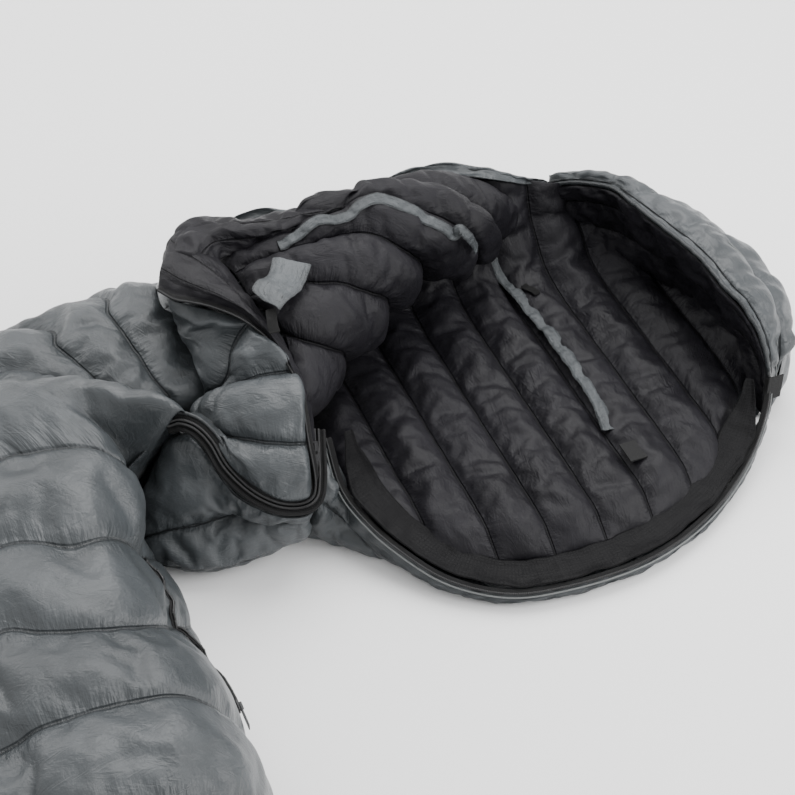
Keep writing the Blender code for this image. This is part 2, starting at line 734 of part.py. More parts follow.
def tabs(mats):
    """Hook-and-loop tabs, the collar tape and the small label tab."""
    tape_x = hood_start - 3 * chamber_pitch + collar_tape_step
    level = chamber_crest + skin_gap + skin_thickness + 0.001
    rear = back_edge - wall_width - 0.006
    ys = [hook_front + (rear - hook_front) * k / 6 for k in range(7)]
    strip = [[Vector((tape_x + side * collar_tape_width / 2, y, level)) for y in ys] for side in (-1, 1)]
    slab("collar_tape", strip, raised(strip, tape_fabric), mats["tape"])
    hooks = bmesh.new()
    half = hook_square / 2
    box(hooks, (-half, -hook_square * 1.4, 0), (half, 0, 0.0022))
    hook = add_piece("collar_hook_tab", hooks, mats["hook"], smooth=False)
    hook.location = (tape_x, hook_front - touch_gap, level)

    label = bmesh.new()
    box(label, (-0.010, -0.006, 0), (0.010, 0.006, 0.0010))
    tag = add_piece("label_tag", label, mats["stiffener"], smooth=False)
    tag.location = (tape_x + label_step, label_back, level)

    flat = bmesh.new()
    box(flat, (0, -flap_tab_width / 2, 0), (flap_tab_length, flap_tab_width / 2, 0.0016))
    grip = add_piece("flap_grip_tab", flat, mats["tape"], smooth=False)
    crown = hinge_height + flap_lift + skin_thickness + touch_gap + flap_loft + 0.004
    grip.location = flap_point(flap_first + grip_tab_along, grip_tab_across, crown)
    heading = fold_heading + grip_tab_turn
    grip.rotation_euler = (0, 0, heading)
    end = bmesh.new()
    box(end, (0.0005, -flap_tab_width / 2, 0), (0.020, flap_tab_width / 2, 0.0022))
    patch = add_piece("flap_grip_patch", end, mats["hook"], smooth=False)
    patch.location = grip.location + Vector((math.cos(heading), math.sin(heading), 0)) * flap_tab_length
    patch.rotation_euler = (0, 0, heading)

    hang = bmesh.new()
    box(hang, (-hood_tab_width / 2, -0.0018, -hood_tab_length), (hood_tab_width / 2, 0, 0))
    hood_tab = add_piece("hood_hook_tab", hang, mats["hook"], smooth=False)
    corner = Vector(hood_outline[-1])
    hood_tab.location = (corner.x - 0.006, corner.y - 0.0195, hood_tab_top)

    sleeve = bmesh.new()
    bmesh.ops.create_cone(sleeve, cap_ends=True, segments=12, radius1=sleeve_radius,
                          radius2=sleeve_radius, depth=sleeve_length)
    roll = add_piece("hood_cord_sleeve", sleeve, mats["shell"])
    roll.rotation_euler = (math.radians(78), 0, math.radians(60))
    roll.location = (corner.x - 0.030, corner.y - 0.008, hood_height - 0.040)


def centre_over_origin():
    """Moves every unparented object so that the box of all the solids is centred over the origin."""
    bpy.context.view_layer.update()
    shown = [obj for obj in bpy.data.objects if obj.type == "MESH" and not obj.hide_render]
    corners = [obj.matrix_world @ Vector(corner) for obj in shown for corner in obj.bound_box]
    low = Vector((min(c.x for c in corners), min(c.y for c in corners), 0))
    high = Vector((max(c.x for c in corners), max(c.y for c in corners), 0))
    middle = (low + high) / 2
    for obj in bpy.data.objects:
        if obj.parent is None:
            obj.matrix_world = Matrix.Translation(-middle) @ obj.matrix_world
    print("layout centre", [round(value, 5) for value in middle])


def main():
    clear_scene()
    mats = {
        "shell": finish("grey_nylon", (0.15, 0.17, 0.17), 0.45),
        "lining": finish("black_taffeta", (0.012, 0.012, 0.014), 0.5),
        "down": finish("down_fill", (0.75, 0.73, 0.70), 0.9),
        "stiffener": finish("ripstop_band", (0.02, 0.02, 0.022), 0.7),
        "zip": finish("zip_tape", (0.015, 0.015, 0.016), 0.8),
        "coil": finish("zip_coil", (0.02, 0.02, 0.02), 0.35),
        "metal": finish("slider_metal", (0.03, 0.03, 0.035), 0.35, 1.0),
        "tape": finish("grey_tape", (0.22, 0.24, 0.24), 0.55),
        "hook": finish("hook_and_loop", (0.01, 0.01, 0.01), 0.95),
    }
    torso_bottom(mats)
    leg_bottom(mats)
    side_walls(mats)
    top_panel(mats)
    foot(mats)
    hood(mats)
    flap(mats)
    zips(mats)
    tabs(mats)
    centre_over_origin()


main()
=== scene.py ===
import math

import bmesh
import bpy
import numpy as np
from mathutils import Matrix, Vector, noise
from mathutils.bvhtree import BVHTree


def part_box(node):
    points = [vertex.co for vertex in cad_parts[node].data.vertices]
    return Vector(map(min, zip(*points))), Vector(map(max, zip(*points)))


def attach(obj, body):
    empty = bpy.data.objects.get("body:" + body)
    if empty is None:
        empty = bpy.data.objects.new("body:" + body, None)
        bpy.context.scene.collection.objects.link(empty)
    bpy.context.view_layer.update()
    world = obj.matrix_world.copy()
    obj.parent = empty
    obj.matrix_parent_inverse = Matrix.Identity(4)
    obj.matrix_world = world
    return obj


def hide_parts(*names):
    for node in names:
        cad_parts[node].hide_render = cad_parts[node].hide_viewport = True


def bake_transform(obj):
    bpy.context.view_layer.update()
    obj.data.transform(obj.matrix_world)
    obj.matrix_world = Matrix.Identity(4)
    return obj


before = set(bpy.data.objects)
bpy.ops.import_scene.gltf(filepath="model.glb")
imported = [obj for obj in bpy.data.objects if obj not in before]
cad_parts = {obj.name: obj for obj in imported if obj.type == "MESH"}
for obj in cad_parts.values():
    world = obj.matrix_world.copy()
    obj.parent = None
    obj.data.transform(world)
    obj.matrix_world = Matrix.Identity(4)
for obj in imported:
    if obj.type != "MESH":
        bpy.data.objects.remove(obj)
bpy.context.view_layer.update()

# Points below are in the bag's own plan, which planShift lays onto the frame.
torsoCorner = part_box("shell_torso")[0]
planCorner = (-0.135, -0.380)      # the torso's lowest x and y in that plan
planShift = Vector((torsoCorner.x - planCorner[0], torsoCorner.y - planCorner[1], 0.0))

cloth = {
    "frames": 18,
    "quality": 4,
    "pressure": 14.0,
    "excess": 0.030,      # spare cloth in each puff
    "tension": 18.0,
    "bending": 0.6,
    "shear": 6.0,
    "damping": 8.0,
    "air": 3.0,
    "mass": 0.15,
    "mostMove": 0.020,    # how far a point may be blown from where it starts
    "thickness": 0.0012,
    "lowest": 0.0008,     # heights that no panel passes
    "highest": 0.2695,
}


def newGroup(name, inputs, outputs):
    group = bpy.data.node_groups.new(name, "ShaderNodeTree")
    for label, kind, value in inputs:
        socket = group.interface.new_socket(name=label, in_out="INPUT", socket_type=kind)
        if value is not None:
            socket.default_value = value
    for label, kind in outputs:
        group.interface.new_socket(name=label, in_out="OUTPUT", socket_type=kind)
    return group, group.nodes.new("NodeGroupInput"), group.nodes.new("NodeGroupOutput")


def maths(tree, operation, first, second=None, third=None, clamp=False):
    node = tree.nodes.new("ShaderNodeMath")
    node.operation = operation
    node.use_clamp = clamp
    for slot, value in enumerate((first, second, third)):
        if value is None:
            continue
        if isinstance(value, (int, float)):
            node.inputs[slot].default_value = value
        else:
            tree.links.new(value, node.inputs[slot])
    return node.outputs[0]


def spread(tree, value, low, high, toLow=0.0, toHigh=1.0):
    node = tree.nodes.new("ShaderNodeMapRange")
    node.interpolation_type = "SMOOTHSTEP"
    tree.links.new(value, node.inputs["Value"])
    for label, number in (("From Min", low), ("From Max", high), ("To Min", toLow), ("To Max", toHigh)):
        node.inputs[label].default_value = number
    return node.outputs[0]


def noiseOf(tree, vector, scale, detail=3.0, rough=0.55):
    node = tree.nodes.new("ShaderNodeTexNoise")
    node.inputs["Scale"].default_value = scale
    node.inputs["Detail"].default_value = detail
    node.inputs["Roughness"].default_value = rough
    tree.links.new(vector, node.inputs["Vector"])
    return node.outputs["Fac"]


def stretched(tree, vector, size):
    node = tree.nodes.new("ShaderNodeMapping")
    node.inputs["Scale"].default_value = size
    tree.links.new(vector, node.inputs["Vector"])
    return node.outputs[0]


def mixed(tree, share, first, second, kind="MIX"):
    node = tree.nodes.new("ShaderNodeMix")
    node.data_type = "RGBA"
    node.blend_type = kind
    for slot, value in ((0, share), (6, first), (7, second)):
        if isinstance(value, bpy.types.NodeSocket):
            tree.links.new(value, node.inputs[slot])
        elif isinstance(value, (int, float)):
            node.inputs[slot].default_value = value
        else:
            node.inputs[slot].default_value = (*value, 1.0)
    return node.outputs[2]


def makeSeamGroup():
    # Stitching, seam puckers and fine creases. UV x runs along a chamber in metres, y counts chambers.
    group, inside, out = newGroup(
        "quiltSeams",
        [("Pitch", "NodeSocketFloat", 0.065), ("Pucker", "NodeSocketFloat", 1.0),
         ("Crease", "NodeSocketFloat", 1.0)],
        [("Height", "NodeSocketFloat"), ("Seam", "NodeSocketFloat"), ("Stitch", "NodeSocketFloat"),
         ("Shade", "NodeSocketFloat")],
    )
    uv = group.nodes.new("ShaderNodeUVMap")
    uv.uv_map = "cloth"
    parts = group.nodes.new("ShaderNodeSeparateXYZ")
    group.links.new(uv.outputs[0], parts.inputs[0])
    along, across = parts.outputs[0], parts.outputs[1]
    toSeam = maths(group, "MULTIPLY", maths(group, "PINGPONG", across, 0.5), inside.outputs["Pitch"])
    seam = spread(group, toSeam, 0.0004, 0.0022, 1.0, 0.0)
    thread = spread(group, toSeam, 0.0003, 0.0007, 1.0, 0.0)
    dash = spread(group, maths(group, "PINGPONG", along, 0.0016), 0.00028, 0.0005)
    stitch = maths(group, "MULTIPLY", thread, dash)
    # puckers run across the seam and die out towards the crest
    near = spread(group, toSeam, 0.0, 0.020, 1.0, 0.0)
    rippled = noiseOf(group, stretched(group, uv.outputs[0], (170.0, 5.0, 1.0)), 1.0, 2.0)
    coarse = noiseOf(group, stretched(group, uv.outputs[0], (60.0, 2.2, 1.0)), 1.0, 3.0)
    pucker = maths(group, "MULTIPLY", maths(group, "MULTIPLY", near, inside.outputs["Pucker"]),
                   maths(group, "ADD", rippled, coarse))
    spot = group.nodes.new("ShaderNodeTexCoord").outputs["Object"]
    warp = noiseOf(group, spot, 14.0, 2.0)
    bent = group.nodes.new("ShaderNodeVectorMath")
    bent.operation = "MULTIPLY_ADD"
    sway = group.nodes.new("ShaderNodeTexNoise")
    sway.inputs["Scale"].default_value = 7.0
    group.links.new(uv.outputs[0], sway.inputs["Vector"])
    group.links.new(sway.outputs["Color"], bent.inputs[0])
    bent.inputs[1].default_value = (0.09, 0.9, 0.0)
    group.links.new(uv.outputs[0], bent.inputs[2])
    drawn = noiseOf(group, stretched(group, bent.outputs[0], (42.0, 1.1, 1.0)), 1.0, 3.0, 0.6)
    ridged = maths(group, "ABSOLUTE", maths(group, "SUBTRACT", noiseOf(group, spot, 34.0, 4.0, 0.6), 0.5))
    folds = maths(group, "ABSOLUTE", maths(group, "SUBTRACT", drawn, 0.5))
    ridged = maths(group, "ADD", ridged, maths(group, "MULTIPLY", folds, 0.8))
    fine = maths(group, "MULTIPLY", maths(group, "MULTIPLY", ridged, warp), inside.outputs["Crease"])
    height = maths(group, "SUBTRACT", maths(group, "ADD", pucker, maths(group, "MULTIPLY", fine, 3.0)),
                   maths(group, "MULTIPLY", seam, 1.2))
    height = maths(group, "ADD", height, maths(group, "MULTIPLY", stitch, 0.5))
    group.links.new(height, out.inputs["Height"])
    group.links.new(seam, out.inputs["Seam"])
    group.links.new(stitch, out.inputs["Stitch"])
    group.links.new(warp, out.inputs["Shade"])
    return group


def makeWeaveGroup():
    # Plain weave with a ripstop grid laid over it, from the UV map that measures the cloth in metres.
    group, inside, out = newGroup(
        "fineWeave",
        [("Threads", "NodeSocketFloat", 2400.0), ("Grid", "NodeSocketFloat", 0.005)],
        [("Height", "NodeSocketFloat"), ("Grid", "NodeSocketFloat"), ("Mottle", "NodeSocketFloat")],
    )
    uv = group.nodes.new("ShaderNodeUVMap")
    uv.uv_map = "metres"
    parts = group.nodes.new("ShaderNodeSeparateXYZ")
    group.links.new(uv.outputs[0], parts.inputs[0])
    waves = []
    for axis in (0, 1):
        turned = maths(group, "MULTIPLY", parts.outputs[axis], inside.outputs["Threads"])
        waves.append(maths(group, "SINE", turned))
    weave = maths(group, "MULTIPLY", waves[0], waves[1])
    half = maths(group, "MULTIPLY", inside.outputs["Grid"], 0.5)
    lines = [spread(group, maths(group, "PINGPONG", parts.outputs[axis], half), 0.00025, 0.0006, 1.0, 0.0)
             for axis in (0, 1)]
    grid = maths(group, "MAXIMUM", lines[0], lines[1])
    spot = group.nodes.new("ShaderNodeTexCoord").outputs["Object"]
    mottle = noiseOf(group, spot, 9.0, 5.0, 0.6)
    group.links.new(weave, out.inputs["Height"])
    group.links.new(grid, out.inputs["Grid"])
    group.links.new(mottle, out.inputs["Mottle"])
    return group


seamGroup = makeSeamGroup()
weaveGroup = makeWeaveGroup()


def place(tree, group, **values):
    node = tree.nodes.new("ShaderNodeGroup")
    node.node_tree = group
    for label, value in values.items():
        node.inputs[label.capitalize()].default_value = value
    return node


def fabric(name, look):
    material = bpy.data.materials.new(name)
    material.use_nodes = True
    tree = material.node_tree
    shader = tree.nodes["Principled BSDF"]
    weave = place(tree, weaveGroup, threads=look["threads"], grid=look["grid"])
    color = mixed(tree, spread(tree, weave.outputs["Mottle"], 0.3, 0.7), look["dark"], look["pale"])
    height = maths(tree, "MULTIPLY", weave.outputs["Height"], look["weave"])
    if look["gridDepth"]:
        shade = maths(tree, "MULTIPLY", weave.outputs["Grid"], look["gridShade"])
        color = mixed(tree, shade, color, look["gridColor"])
        height = maths(tree, "ADD", height, maths(tree, "MULTIPLY", weave.outputs["Grid"], look["gridDepth"]))
    rough = spread(tree, weave.outputs["Mottle"], 0.25, 0.75, look["rough"] - 0.05, look["rough"] + 0.06)
    if look["pucker"]:
        seams = place(tree, seamGroup, pitch=look["pitch"], pucker=look["pucker"], crease=look["crease"])
        # near each seam line the colour is mixed towards a darker tone: painted shade in the valley along the
        # seam
        shade = maths(tree, "MULTIPLY", seams.outputs["Seam"], look["seamShade"])
        color = mixed(tree, shade, color, look["seamShadowColor"])
        color = mixed(tree, maths(tree, "MULTIPLY", seams.outputs["Stitch"], 0.5), color, look["thread"])
        height = maths(tree, "ADD", height, seams.outputs["Height"])
    bump = tree.nodes.new("ShaderNodeBump")
    bump.inputs["Distance"].default_value = look["bump"]
    bump.inputs["Strength"].default_value = 1.0
    tree.links.new(height, bump.inputs["Height"])
    tree.links.new(bump.outputs[0], shader.inputs["Normal"])
    tree.links.new(color, shader.inputs["Base Color"])
    tree.links.new(rough, shader.inputs["Roughness"])
    shader.inputs["Sheen Weight"].default_value = look["sheen"]
    shader.inputs["Sheen Roughness"].default_value = 0.35
    shader.inputs["Specular IOR Level"].default_value = look["gloss"]
    return material


# the darker seam colour in each look is painted shade for the seam valleys
nylonLook = {
    "dark": (0.034, 0.0385, 0.0415), "pale": (0.052, 0.0580, 0.0625), "seamShadowColor": (0.020, 0.023, 0.025),
    "thread": (0.012, 0.013, 0.014), "seamShade": 0.45, "threads": 5200.0, "grid": 0.004, "gridDepth": 0.0,
    "gridShade": 0.0, "gridColor": (0.1, 0.1, 0.1), "weave": 0.02, "rough": 0.35, "pucker": 1.5, "crease": 0.9,
    "pitch": 0.065, "bump": 0.0017, "sheen": 0.0, "gloss": 0.42,
}
taffetaLook = {
    **nylonLook, "dark": (0.0066, 0.0062, 0.0080), "pale": (0.0105, 0.0099, 0.0126),
    "seamShadowColor": (0.0020, 0.0020, 0.0022), "thread": (0.010, 0.010, 0.011), "rough": 0.50, "gloss": 0.20,
}
ripstopLook = {
    **taffetaLook, "dark": (0.0034, 0.0033, 0.0038), "pale": (0.0056, 0.0054, 0.0062), "gridDepth": 0.35,
    "gridShade": 0.6, "gridColor": (0.007, 0.007, 0.0078), "pucker": 1.2, "crease": 0.7, "gloss": 0.14,
    "rough": 0.55, "grid": 0.0042,
}
tapeLook = {
    **nylonLook, "dark": (0.048, 0.0530, 0.0565), "pale": (0.080, 0.0880, 0.0940), "pucker": 0.9, "crease": 2.2,
    "weave": 0.05, "pitch": 0.010, "seamShade": 0.35, "rough": 0.45, "bump": 0.0014,
}
zipTapeLook = {
    **taffetaLook, "dark": (0.0028, 0.0028, 0.003), "pale": (0.005, 0.005, 0.0055), "pucker": 0.0,
    "weave": 0.5, "threads": 2600.0, "rough": 0.6, "bump": 0.0006, "sheen": 0.05,
}
hookLook = {
    **zipTapeLook, "dark": (0.0022, 0.0022, 0.0022), "pale": (0.006, 0.006, 0.006), "rough": 0.85,
    "weave": 0.9, "threads": 3400.0,
}
nylon = fabric("greyNylon", nylonLook)
taffeta = fabric("blackTaffeta", taffetaLook)
ripstop = fabric("ripstopBand", ripstopLook)
greyTape = fabric("greyTape", tapeLook)
zipTape = fabric("zipTape", zipTapeLook)
hookTape = fabric("hookTape", hookLook)


def solidFinish(name, color, rough, metallic, pile=0.0):
    material = bpy.data.materials.new(name)
    material.use_nodes = True
    tree = material.node_tree
    shader = tree.nodes["Principled BSDF"]
    spot = tree.nodes.new("ShaderNodeTexCoord").outputs["Object"]
    worn = noiseOf(tree, spot, 900.0, 3.0)
    tree.links.new(mixed(tree, spread(tree, worn, 0.35, 0.75), color, tuple(c * 1.7 for c in color)),
                   shader.inputs["Base Color"])
    tree.links.new(spread(tree, worn, 0.3, 0.8, rough - 0.05, rough + 0.12), shader.inputs["Roughness"])
    shader.inputs["Metallic"].default_value = metallic
    if pile:
        bump = tree.nodes.new("ShaderNodeBump")
        bump.inputs["Distance"].default_value = pile
        tree.links.new(noiseOf(tree, spot, 1600.0, 2.0), bump.inputs["Height"])
        tree.links.new(bump.outputs[0], shader.inputs["Normal"])
    return material


coilPlastic = solidFinish("coilPlastic", (0.004, 0.004, 0.0045), 0.36, 0.0)
sliderMetal = solidFinish("sliderMetal", (0.026, 0.026, 0.027), 0.36, 0.85)
hookPile = solidFinish("hookPile", (0.0030, 0.0030, 0.0032), 0.85, 0.0, 0.0008)
pipingGrey = solidFinish("pipingGrey", (0.09, 0.095, 0.095), 0.45, 0.0)
threadGrey = solidFinish("threadGrey", (0.022, 0.024, 0.024), 0.7, 0.0)


def metres(points):
    # points in whole millimetres, given back in metres
    return np.array(points) / 1000


def inMetres(rows):
    return [metres(row) for row in rows]


def curveAt(points, params):
    # Catmull-Rom through the points, evaluated at params from 0 to len(points) - 1
    pts = np.vstack([2 * points[0] - points[1], points, 2 * points[-1] - points[-2]])
    index = np.clip(np.floor(params).astype(int), 0, len(points) - 2)
    t = (params - index)[:, None]
    a, b, c, d = (pts[index + k] for k in range(4))
    second, third = 2 * a - 5 * b + 4 * c - d, 3 * b - a - 3 * c + d
    return 0.5 * (2 * b + (c - a) * t + second * t ** 2 + third * t ** 3)


def evenly(points, count):
    # count points at even steps along the smooth curve
    fine = curveAt(points, np.linspace(0, len(points) - 1, 24 * len(points)))
    steps = np.concatenate([[0], np.cumsum(np.linalg.norm(np.diff(fine, axis=0), axis=1))])
    at = np.linspace(0, steps[-1], count)
    return np.stack([np.interp(at, steps, fine[:, k]) for k in range(3)], axis=1), steps[-1]


def spanned(along, across):
    return np.stack(np.broadcast_arrays(along[None, :], across[:, None]), axis=2)


def gridObject(name, points, uvs, flip=False):
    # a create_grid mesh whose corners are moved onto points[i][j]; i runs across chambers, j along them
    rows, columns = points.shape[:2]
    bm = bmesh.new()
    bmesh.ops.create_grid(bm, x_segments=rows - 1, y_segments=columns - 1, size=0.5, calc_uvs=False)
    spots = {}
    for vert in bm.verts:
        i = round((vert.co.x + 0.5) * (rows - 1))
        j = round((vert.co.y + 0.5) * (columns - 1))
        spots[vert.index] = (i, j)
        vert.co = points[i, j]
    layers = {label: bm.loops.layers.uv.new(label) for label in uvs}
    for face in bm.faces:
        for loop in face.loops:
            i, j = spots[loop.vert.index]
            for label, values in uvs.items():
                loop[layers[label]].uv = values[i, j]
    if flip:
        bmesh.ops.reverse_faces(bm, faces=bm.faces)
    mesh = bpy.data.meshes.new(name)
    bm.to_mesh(mesh)
    bm.free()
    mesh.shade_smooth()
    piece = bpy.data.objects.new(name, mesh)
    bpy.context.scene.collection.objects.link(piece)
    return piece, spots


simulated = []


def quilt(name, material, look):
    # look["rows"] are seam lines in the bag's plan; between two of them the panel puffs out
    step = look.get("step", 0.006)
    rows = [np.array(row) + np.array(planShift) for row in look["rows"]]
    lengths = [evenly(row, 8)[1] for row in rows]
    columns = int(max(lengths) / step) + 1
    lines = np.array([evenly(row, columns)[0] for row in rows])
    gaps = np.linalg.norm(np.diff(lines, axis=0), axis=2).max(axis=1)
    perGap = max(4, int(np.median(gaps) / step))
    params = np.linspace(0, len(rows) - 1, (len(rows) - 1) * perGap + 1)
    seams = look.get("seams", list(range(len(rows))))
    chamber = np.interp(params, seams, range(len(seams)))
    room = np.clip(np.floor(chamber).astype(int), 0, len(seams) - 2)
    grid = np.stack([curveAt(lines[:, j], params) for j in range(columns)], axis=1)
    if look.get("straight"):
        index = np.clip(np.floor(params).astype(int), 0, len(rows) - 2)
        share = (params - index)[:, None, None]
        flat = lines[index] * (1 - share) + lines[index + 1] * share
        grid = grid * (1 - look["straight"]) + flat * look["straight"]
    du, dv = np.gradient(grid, axis=0), np.gradient(grid, axis=1)
    normal = np.cross(du, dv)
    normal /= np.maximum(np.linalg.norm(normal, axis=2, keepdims=True), 1e-9)
    outward = np.array(look.get("facing", (-0.25, -0.60, 0.75)))
    turned = float((normal @ outward).mean()) < 0
    if turned:
        normal = -normal
    within = chamber % 1.0
    arch = np.sin(np.pi * within) ** 0.62
    ends = np.ones(columns)
    taper = np.arange(columns) / (columns - 1)
    for fade, share in zip(look.get("fade", (0.06, 0.06)), (taper, 1 - taper)):
        if fade:
            ends = ends * np.clip(share / fade, 0, 1) ** 0.5
    lofts = look.get("loft", 0.02)
    if not isinstance(lofts, (int, float)):
        lofts = np.array(lofts)[room][:, None]
    spans = np.linalg.norm(np.diff(lines[seams], axis=0), axis=2)[room]
    height = arch[:, None] * ends[None, :] * np.minimum(lofts, 0.40 * spans)
    seed = look.get("seed", 0.0)
    rough = np.array([[noise.noise(Vector(grid[i, j] * 22) + Vector((seed, 0, 0)))
                       + 0.5 * noise.noise(Vector(grid[i, j] * 55) + Vector((0, seed, 0)))
                       for j in range(columns)] for i in range(len(params))])
    uneven = look.get("uneven", 0.25)
    grid = grid + normal * (height * (1 + uneven * rough))[..., None]
    grid = grid + normal * (arch[:, None] * rough * look.get("lumps", 0.0015) * ends[None, :])[..., None]
    along = np.linspace(0, max(lengths), columns)
    across = np.concatenate([[0], np.cumsum(np.repeat(gaps / perGap, perGap))])
    uvs = {"cloth": spanned(along, chamber), "metres": spanned(along, across)}
    piece, spots = gridObject(name, grid, uvs, flip=turned)
    piece.data.materials.append(material)
    pins = piece.vertex_groups.new(name="pins")
    for index, (i, j) in spots.items():
        onSeam = i % perGap == 0 and i // perGap in seams
        if onSeam or j in (0, columns - 1):
            pins.add([index], 1.0, "REPLACE")
    calm = np.array([ends[spots[k][1]] for k in range(len(spots))])      # less puff towards the ends
    simulated.append((piece, look, calm))
    return piece


def addCloth(piece, look):
    modifier = piece.modifiers.new("cloth", "CLOTH")
    settings = modifier.settings
    settings.quality = cloth["quality"]
    settings.mass = cloth["mass"]
    settings.air_damping = cloth["air"]
    settings.tension_stiffness = settings.compression_stiffness = cloth["tension"]
    settings.shear_stiffness = cloth["shear"]
    settings.bending_stiffness = cloth["bending"]
    settings.tension_damping = settings.compression_damping = cloth["damping"]
    settings.use_pressure = True
    settings.uniform_pressure_force = look.get("pressure", cloth["pressure"])
    settings.vertex_group_mass = "pins"
    settings.shrink_min = -look.get("excess", cloth["excess"])
    settings.effector_weights.gravity = 0.0
    modifier.collision_settings.use_collision = False
    modifier.collision_settings.use_self_collision = False
    modifier.point_cache.frame_start = 1
    modifier.point_cache.frame_end = cloth["frames"]


def addWall(piece, thickness, offset):
    wall = piece.modifiers.new("thickness", "SOLIDIFY")
    wall.thickness = thickness
    wall.offset = offset
    smooth = piece.modifiers.new("smooth", "SUBSURF")
    smooth.levels = smooth.render_levels = 1


def swapMesh(piece, mesh):
    old = piece.data
    piece.modifiers.clear()
    piece.data = mesh
    bpy.data.meshes.remove(old)


def finishQuilts():
    scene = bpy.context.scene
    print("puffing", len(simulated), "panels")
    for piece, look, calm in simulated:
        addCloth(piece, look)
    scene.frame_start, scene.frame_end = 1, cloth["frames"]
    for number in range(1, cloth["frames"] + 1):
        scene.frame_set(number)
    graph = bpy.context.evaluated_depsgraph_get()
    made = []
    for piece, look, calm in simulated:
        rest = np.array([v.co for v in piece.data.vertices])
        mesh = bpy.data.meshes.new_from_object(piece.evaluated_get(graph))
        moved = np.array([v.co for v in mesh.vertices])
        step = moved - rest
        size = np.linalg.norm(step, axis=1, keepdims=True)
        most = look.get("mostMove", cloth["mostMove"])
        step *= np.minimum(1.0, most / np.maximum(size, 1e-9)) * calm[:, None]
        mesh.vertices.foreach_set("co", (rest + step).astype(np.float32).ravel())
        made.append((piece, mesh))
    for piece, mesh in made:
        swapMesh(piece, mesh)
    scene.frame_set(1)
    for piece, look, calm in simulated:
        co = np.array([v.co for v in piece.data.vertices])
        co[:, 2] = np.minimum(np.maximum(co[:, 2], cloth["lowest"]), cloth["highest"])
        piece.data.vertices.foreach_set("co", co.astype(np.float32).ravel())
        addWall(piece, cloth["thickness"], -1.0)


above = 0.4      # a height clear of the whole bag


def surfaceTree(piece):
    # the panel's own outer face, without its wall
    corners = [v.co for v in piece.data.vertices]
    return BVHTree.FromPolygons(corners, [tuple(p.vertices) for p in piece.data.polygons])


def dropped(tree, x, y, level):
    # the height of the panel under a point, or the level it had
    hit = tree.ray_cast(Vector((x, y, above)), Vector((0, 0, -1)))[0]
    return level if hit is None else hit.z


def laidOn(line, tree, lift):
    # drops a line of points onto a panel and lets it bridge the small hollows
    level = line[:, 2].copy()
    for k, point in enumerate(line):
        level[k] = dropped(tree, point[0], point[1], level[k])
    for _ in range(2):
        level[1:-1] = np.maximum(level[1:-1], (level[:-2] + level[2:]) / 2)
    laid = line.copy()
    laid[:, 2] = softened(level, 3) + lift
    return laid


def softened(line, times):
    for _ in range(times):
        line[1:-1] = 0.25 * line[:-2] + 0.5 * line[1:-1] + 0.25 * line[2:]
    return line


def pressedOn(line, tree, lift):
    # moves each point to the nearest place on a panel, a little proud of it, and gives the way up there
    found, ways = [], []
    for point in line:
        hit, normal, index, far = tree.find_nearest(Vector(point))
        found.append(np.array(hit + normal * lift))
        ways.append(np.array(normal))
    return softened(np.array(found), 3), softened(np.array(ways), 8)


def draped(grid, tree, lift, passes):
    # lays a grid of points on a panel like stiff cloth
    level = grid[..., 2].copy()
    for spot in np.ndindex(level.shape):
        level[spot] = dropped(tree, grid[spot][0], grid[spot][1], level[spot])
    firm = level.copy()
    for _ in range(passes):
        wide = np.pad(level, 1, mode="edge")
        around = wide[:-2, 1:-1] + wide[2:, 1:-1] + wide[1:-1, :-2] + wide[1:-1, 2:]
        level = np.maximum(firm, around / 4)
    laid = grid.copy()
    laid[..., 2] = np.minimum(level + lift, cloth["highest"] + 0.001)
    return laid


def ribbon(name, material, look):
    # a flat strip along look["path"], laid across the way that it faces
    width = look["width"]
    line, length = evenly(np.array(look["path"]) + np.array(planShift), look["count"])
    if "over" in look:
        line = laidOn(line, surfaceTree(look["over"]), look.get("lift", 0.002))
        look = {**look, "lift": 0.0}
    if "on" in look:
        line, ways = pressedOn(line, surfaceTree(look["on"]), look.get("proud", 0.0015))
        look = {**look, "up": ways, "lift": 0.0}
    ahead = np.gradient(line, axis=0)
    ahead /= np.linalg.norm(ahead, axis=1, keepdims=True)
    up = np.array(look.get("up", (0.0, 0.0, 1.0)), float)
    if up.ndim == 2:
        up = evenly(up, len(line))[0] if len(up) > 2 else np.linspace(up[0], up[1], len(line))
    side = np.cross(ahead, up)
    side /= np.linalg.norm(side, axis=1, keepdims=True)
    face = np.cross(side, ahead)
    shares = np.linspace(-0.5, 0.5, look["across"])
    crinkle = look.get("crinkle", 0.0)
    grid = np.zeros((len(shares), len(line), 3))
    ends = np.linspace(0, 1, len(line))
    narrowed = 1 - look.get("taper", 0.0) * (1 - np.clip(np.minimum(ends, 1 - ends) / 0.09, 0, 1))[:, None]
    for i, share in enumerate(shares):
        grid[i] = line + side * (share * width * narrowed) + face * look.get("lift", 0.0)
        if crinkle:
            bumps = np.array([noise.noise(Vector(p) * look.get("tight", 160.0)) for p in grid[i]])
            sway = np.array([noise.noise(Vector(p) * 45 + Vector((9, 0, 0))) for p in grid[i]])
            grid[i] += face * (bumps * crinkle)[:, None] + side * (sway * crinkle * 0.9)[:, None]
    along = np.linspace(0, length, len(line))
    wide = (shares + 0.5) * width
    uvs = {"cloth": spanned(along, shares + 0.5), "metres": spanned(along, wide)}
    piece, _ = gridObject(name, grid, uvs, flip=look.get("flip", False))
    piece.data.materials.append(material)
    addWall(piece, cloth["thickness"], 0.0)
    return piece


